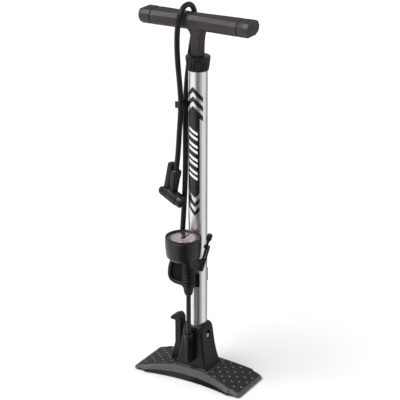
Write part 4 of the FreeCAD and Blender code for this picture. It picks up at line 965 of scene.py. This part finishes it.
def make_handle():
    """Bar, stem, soft inlay and end caps of the T handle."""
    reach = high("handle_body").x
    stations = [reach * step / 8 for step in range(-8, 9)]
    rings = [bar_ring(x, abs(x) / reach) for x in stations[1:-1]]
    for side in (-1, 1):
        edge = [bar_ring(side * (reach - back * MM), 1, shrink) for back, shrink in
                ((1.3, 1), (0.7, 0.985), (0.6, GROOVE_DEPTH), (0, GROOVE_DEPTH))]
        rings = rings + edge if side > 0 else list(reversed(edge)) + rings
    bar = skin("bar", rings, sharp_angle=24)
    stem_low = low("handle_body").z
    stem = stacked("stem", [(stem_low + height * MM, rounded_loop(half_x * MM, half_y * MM, corner * MM))
                            for height, half_x, half_y, corner in (
        (0, 8.6, 8.6, 4.2), (0.6, 9.0, 9.0, 4.3), (12, 9.2, 9.1, 4.3), (24, 9.6, 9.3, 4.2),
        (33, 10.4, 9.6, 4.1), (38, 11.6, 10.0, 4), (41, 13.4, 10.3, 4), (43.5, 16.2, 10.6, 4),
        (45, 19.4, 10.8, 4), (46.5, 22, 10.8, 4))])
    body = join("handle_body_piece", [bar, stem])
    place(body, "handle_body", HANDLE_CHARCOAL)
    place(grip_strip("handle_inlay_piece", -reach + 1.2 * MM, reach - 1.2 * MM, reach),
          "handle_inlay", HANDLE_INLAY)
    for node, side in (("handle_end_cap_left", -1), ("handle_end_cap_right", 1)):
        make_end_cap(node, side, reach)


def make_end_cap(node, side, reach):
    """End cap with a flat end that draws back towards the bottom."""
    tip = max(abs(low(node).x), abs(high(node).x))
    round_from, round_depth, draw_back = 633.0, 11.0, 3.2 * MM

    def end_face(inset):
        """Where the end face stands along X, at a depth and height in millimetres."""
        return lambda y, z: side * (
            tip - inset - draw_back * max(0, (round_from - z) / round_depth) ** 2)

    rings = [bar_ring(side * (reach + out * MM), 1, shrink) for out, shrink in
             ((0.3, GROOVE_DEPTH), (1.3, GROOVE_DEPTH), (1.4, 0.985), (2.0, 1))]
    rings += [bar_ring(end_face(inset * MM), 1, shrink) for inset, shrink in
              ((1.6, 1), (0.7, 0.99), (0.3, 0.975), (0.05, 0.955), (0, 0.94))]
    rings += [bar_ring(end_face(0), 1, shrink) for shrink in (0.7, 0.45, 0.2, 0.04)]
    place(skin(node + "_piece", rings, sharp_angle=30), node, HANDLE_CHARCOAL)
    start, stop = sorted((side * (reach + 2.2 * MM), side * (tip - 2.6 * MM)))
    trim(grip_strip(node + "_grip", start, stop, reach), node, HANDLE_INLAY)


def grip_strip(name, start, stop, reach):
    """Textured soft strip set in the top of the bar between two distances."""
    rings = []
    base, top = 645.4 * MM, 646.9 * MM
    steps = 24
    for step in range(steps + 1):
        x = start + (stop - start) * step / steps
        half = (8.2 + 5 * min(1, abs(x) / reach)) * MM
        squeeze = 0.7 * MM if step in (0, steps) else 0
        rings.append(mirrored(x, [(half, base), (half - squeeze, top - 0.35 * MM - squeeze / 2),
                                  (half - 0.7 * MM - squeeze, top - squeeze)]))
    return skin(name, rings, sharp_angle=25)


# ---------------------------------------------------------------- gauge


def make_gauge():
    """Cup, bezel, lens, printed dial and needle."""
    node = "gauge_housing"
    axis, radius = axis_of(node), radius_of(node)
    bottom, top = low(node).z, high(node).z
    floor = 26
    cup = raised(bottom, ((0, 0), (21, 0), (22.3, 0.4), (23.6, 1.4), (27.4, 4.9), (28.3, 6.3),
                          (28.8, 8.4), (30, 20))) + raised(bottom, ((0, floor),), radius)
    cup += raised(top, ((0, -0.4), (-0.4, 0), (-2.8, 0)), radius)
    cup += raised(bottom, ((-2.8, floor),), radius) + raised(bottom, ((0, floor),))
    place(turned(node + "_piece", cup, axis, 120, 30), node, GAUGE_CHARCOAL)
    bezel = raised(top, ((-2.8, 0.1), (-0.3, 0.1), (0, 0.5)), radius)
    bezel += raised(high("gauge_bezel").z, ((0, -1.1), (-0.4, -0.3), (-1.2, 0), (-2.6, -0.1),
                                            (-3.6, -1.4)), radius)
    bezel += raised(top, ((-3.8, 0.8), (-2.8, 0.1)), radius)
    place(turned("gauge_bezel_piece", bezel, axis, 120, 30), "gauge_bezel", GAUGE_CHARCOAL)
    lens_radius = radius_of("gauge_lens") - 0.2 * MM
    shell = high("gauge_lens").z - 1.6 * MM
    dome = [(lens_radius * share, shell + 1.5 * MM * (1 - share ** 2)) for share in
            (1, 0.92, 0.8, 0.65, 0.5, 0.35, 0.2, 0.08, 0)]
    inner = [(r * 0.97, z - 1.2 * MM) for r, z in reversed(dome)]
    lens = turned("gauge_lens_piece", inner + dome + [inner[-1]], axis, 96, 40)
    place(lens, "gauge_lens", LENS).visible_shadow = False
    make_dial(axis)


def flat_ring(name, axis, inner, outer, height, steps=96, start=0.0, stop=2 * math.pi):
    """Thin printed ring or arc lying flat, also the dial's painted reflection sector."""
    vertices, faces = [], []
    for index in range(steps + 1):
        turn = start + (stop - start) * index / steps
        for radius in (inner, outer):
            for z in (height, height + 0.08 * MM):
                vertices.append((axis[0] + radius * math.cos(turn),
                                 axis[1] + radius * math.sin(turn), z))
    for index in range(steps):
        a, b = index * 4, index * 4 + 4
        faces += [(a, b, b + 2, a + 2), (a + 1, a + 3, b + 3, b + 1), (a, a + 1, b + 1, b),
                  (a + 2, b + 2, b + 3, a + 3)]
    faces += [(0, 2, 3, 1), (steps * 4, steps * 4 + 1, steps * 4 + 3, steps * 4 + 2)]
    mesh = bpy.data.meshes.new(name)
    mesh.from_pydata(vertices, [], faces)
    finish_mesh(mesh)
    return new_object(name, mesh)


def make_dial(axis):
    """Dial disc, red ring, a dark sector that is a painted reflection of the lens, scale with figures,
    and the needle with its hub.
    """
    radius = radius_of("gauge_dial")
    face = high("gauge_dial").z
    disc = raised(face, ((0, -0.8),)) + raised(face, ((0, -0.8), (0, 0), (-5, 0)), radius) + [(0, face)]
    place(turned("gauge_dial_piece", disc, axis, 96), "gauge_dial", DIAL_FACE)
    red = flat_ring("dial_ring", axis, radius - 7 * MM, radius - 0.3 * MM, face)
    trim(red, "gauge_dial", DIAL_RED)
    # Dark sector between the hub and the red ring: a painted reflection in the lens laid on the dial
    # face, not a print.
    shade = flat_ring("dial_painted_reflection_band", axis, 3 * MM, radius - 7 * MM, face, 12,
                      math.radians(108), math.radians(134))
    trim(shade, "gauge_dial", DIAL_PAINTED_REFLECTION)
    ticks = []
    first_turn, sweep, spaces = 225, 270, 30
    for index in range(spaces + 1):
        turn = math.radians(first_turn - sweep * index / spaces)
        major = index % 5 == 0
        inner = radius - (10.5 if major else 8.3) * MM
        half = math.radians(1.3 if major else 0.6)
        ticks.append(flat_ring("tick", axis, inner, radius - 6.2 * MM, face, 2, turn - half, turn + half))
    for index, text in enumerate(("0", "2", "4", "6", "8", "10", "12")):
        turn = math.radians(first_turn - 45 * index)
        ticks.append(numeral(text, axis, turn, radius - 13.5 * MM, face))
    trim(join("dial_scale", ticks), "gauge_dial", DIAL_BLACK)
    place(softened("gauge_needle", 0.08 * MM), "gauge_needle", DIAL_BLACK)
    hub = raised(high("gauge_needle").z, ((0, 0), (2.6, 0), (2.6, 0.7), (1.9, 1.1), (0, 1.2)))
    trim(turned("needle_hub", hub, axis_of("gauge_movement"), 32), "gauge_needle", GAUGE_CHARCOAL)


def numeral(text, axis, turn, radius, height):
    """Small plain figure on the dial, as a mesh."""
    curve = bpy.data.curves.new("figure", "FONT")
    curve.body = text
    curve.size = 4.2 * MM
    curve.align_x, curve.align_y = "CENTER", "CENTER"
    curve.extrude = 0.05 * MM
    mesh = curve_mesh(curve)
    mesh.transform(Matrix.Translation((axis[0] + radius * math.cos(turn),
                                       axis[1] + radius * math.sin(turn), height + 0.03 * MM)))
    return new_object("figure", mesh)


# ---------------------------------------------------------------- bracket, fittings and chuck


def make_nut():
    """Sleeve nut where the lower hose meets the manifold."""
    node = "lower_hose_nut"
    top, radius = high(node).z, radius_of(node)
    foot = low(node).z + 2.2 * MM
    profile = raised(foot, ((4.1, 1, 0), (4.6, 0, 0)))
    profile += raised(foot, ((-3.2, 0, 0), (-2.2, 0.8, 0.2), (-0.6, 5, 1)), radius)
    profile += raised(top, ((0.7, -2, 1), (0.4, -0.6, 0), (-0.9, 0, 0)), radius) + [(0, top, 0)]
    place(knurled(node + "_piece", profile, axis_of(node), 16, 0.7 * MM), node, CAP_BLACK)


def make_ferrule():
    """Ferrule at the start of the main hose."""
    node = "outlet_ferrule"
    bottom, top, radius = low(node).z, high(node).z, radius_of(node)
    profile = [(0, bottom)]
    profile += raised(bottom, ((0, 0), (0, 6), (-0.6, 6.6), (-0.6, 8), (0, 8.6), (0, 11), (-0.6, 11.6),
                               (-0.6, 13), (-0.2, 13.6)), radius)
    profile += raised(top, ((-0.5, -1.2), (-1, -0.2)), radius)
    profile += raised(top, ((4.6, 0), (4.6, -2), (0, -2)))
    place(turned(node + "_piece", profile, axis_of(node), 48), node, CAP_BLACK)


def make_wing(axis):
    """C-shaped wing beside the manifold: a thick rim round a thin web."""
    front_back = axis[1] - 5 * MM
    route = [Vector((x * MM, front_back, z * MM)) for x, z in (
        (-4, 235.5), (-22, 235.5), (-28, 226), (-32.4, 212), (-33, 195), (-26, 188.8), (-14, 187.4),
        (-2, 187))]
    line = smooth_line(route)
    rings = []
    for number, point in enumerate(line):
        outward = tangent_at(line, number).cross(Vector((0, 1, 0)))
        rings.append([point + outward * across + Vector((0, along, 0))
                      for across, along in rounded_loop(3.3 * MM, 4.8 * MM, 1.7 * MM, 3)])
    rim = skin("wing_rim", rings, sharp_angle=50)
    web = skin("wing_web", [[Vector((point.x, front_back + side * 1.2 * MM, point.z))
                             for point in line[::4]] for side in (-1, 1)])
    # The web is bracket plastic; its darker material is painted shade for the deep recess.
    trim(web, "gauge_bracket", RECESS_PAINTED_SHADE)
    return rim


def make_manifold(axis, top, bottom):
    """Upright manifold with its moulded rings and foot flange."""
    radius, groove, pitch = 12.2 * MM, 1.1, 4.6 * MM
    profile = raised(bottom, ((0, 0), (11.2, 0), (12, 0.8), (12, 6.2), (11.4, 7), (9.6, 7.2),
                              (9.6, 9.4)))
    height = bottom + 9.6 * MM
    while height < top - pitch:
        profile += raised(height, ((-0.4, 0), (0, 0.5)), radius)
        height += pitch
        profile += raised(height, ((0, -1.6), (-0.4, -1.1), (-groove, -1), (-groove, -0.1)), radius)
    profile += raised(top, ((-groove, 0),), radius) + [(0, top)]
    return turned("manifold", profile, axis, 72, 30)


def make_bracket():
    """Bracket with its wing and ringed manifold, clamp, elbow, hose clip and adaptor holder."""
    axis = axis_of("lower_hose")
    top, bottom = low("gauge_housing").z, low("gauge_bracket").z
    saddle_loop = rounded_loop_at(0, axis[1] + 8 * MM, 6.8 * MM, 7 * MM, 1.2 * MM)
    saddle = stacked("saddle", [(bottom + 0.5 * MM, saddle_loop), (bottom + 45 * MM, saddle_loop)])
    bracket = join("gauge_bracket_piece", [make_manifold(axis, top, bottom), saddle, make_wing(axis)])
    place(bracket, "gauge_bracket", BRACKET_BLACK)
    for node, width, segments in (("barrel_clamp", 0.7, 3), ("outlet_elbow", 0.6, 2)):
        place(softened(node, width * MM, segments), node, BRACKET_BLACK)
    make_nut()
    make_ferrule()
    for node, width, segments in (("hose_clip", 0.7, 3), ("accessory_holder", 0.7, 3),
                                  ("nozzle_adaptor", 0.4, 2)):
        place(softened(node, width * MM, segments), node, CAP_BLACK)


def make_chuck():
    """Lever chuck pieces, with rounded edges and a little fuller than their CAD nodes."""
    made = []
    for node, width, swell in (("chuck_body", 1.1, 1.0), ("chuck_lever", 1.2, 0.35),
                               ("chuck_nose_cap", 0.6, 1.0), ("chuck_hose_nut", 0.6, 0.9)):
        piece = softened(node, width * MM, 3)
        for vertex in piece.data.vertices:
            vertex.co += vertex.normal * swell * MM
        made.append(place(piece, node, CHUCK_BLACK))
    return made + [NODES[node] for node in ("chuck_pin", "chuck_gland", "chuck_plunger")]


# ---------------------------------------------------------------- build


def build():
    """Make everything, camera and hoses first."""
    make_camera()
    make_studio()
    paint_cad_nodes()
    hose, line = make_main_hose()
    make_lower_hose()
    make_base_shell()
    make_base_skirt()
    make_tread("tread_left", -1)
    make_tread("tread_right", 1)
    make_tower()
    make_barrel()
    make_decals()
    make_cap()
    make_handle()
    make_gauge()
    make_bracket()
    make_chuck()


build()
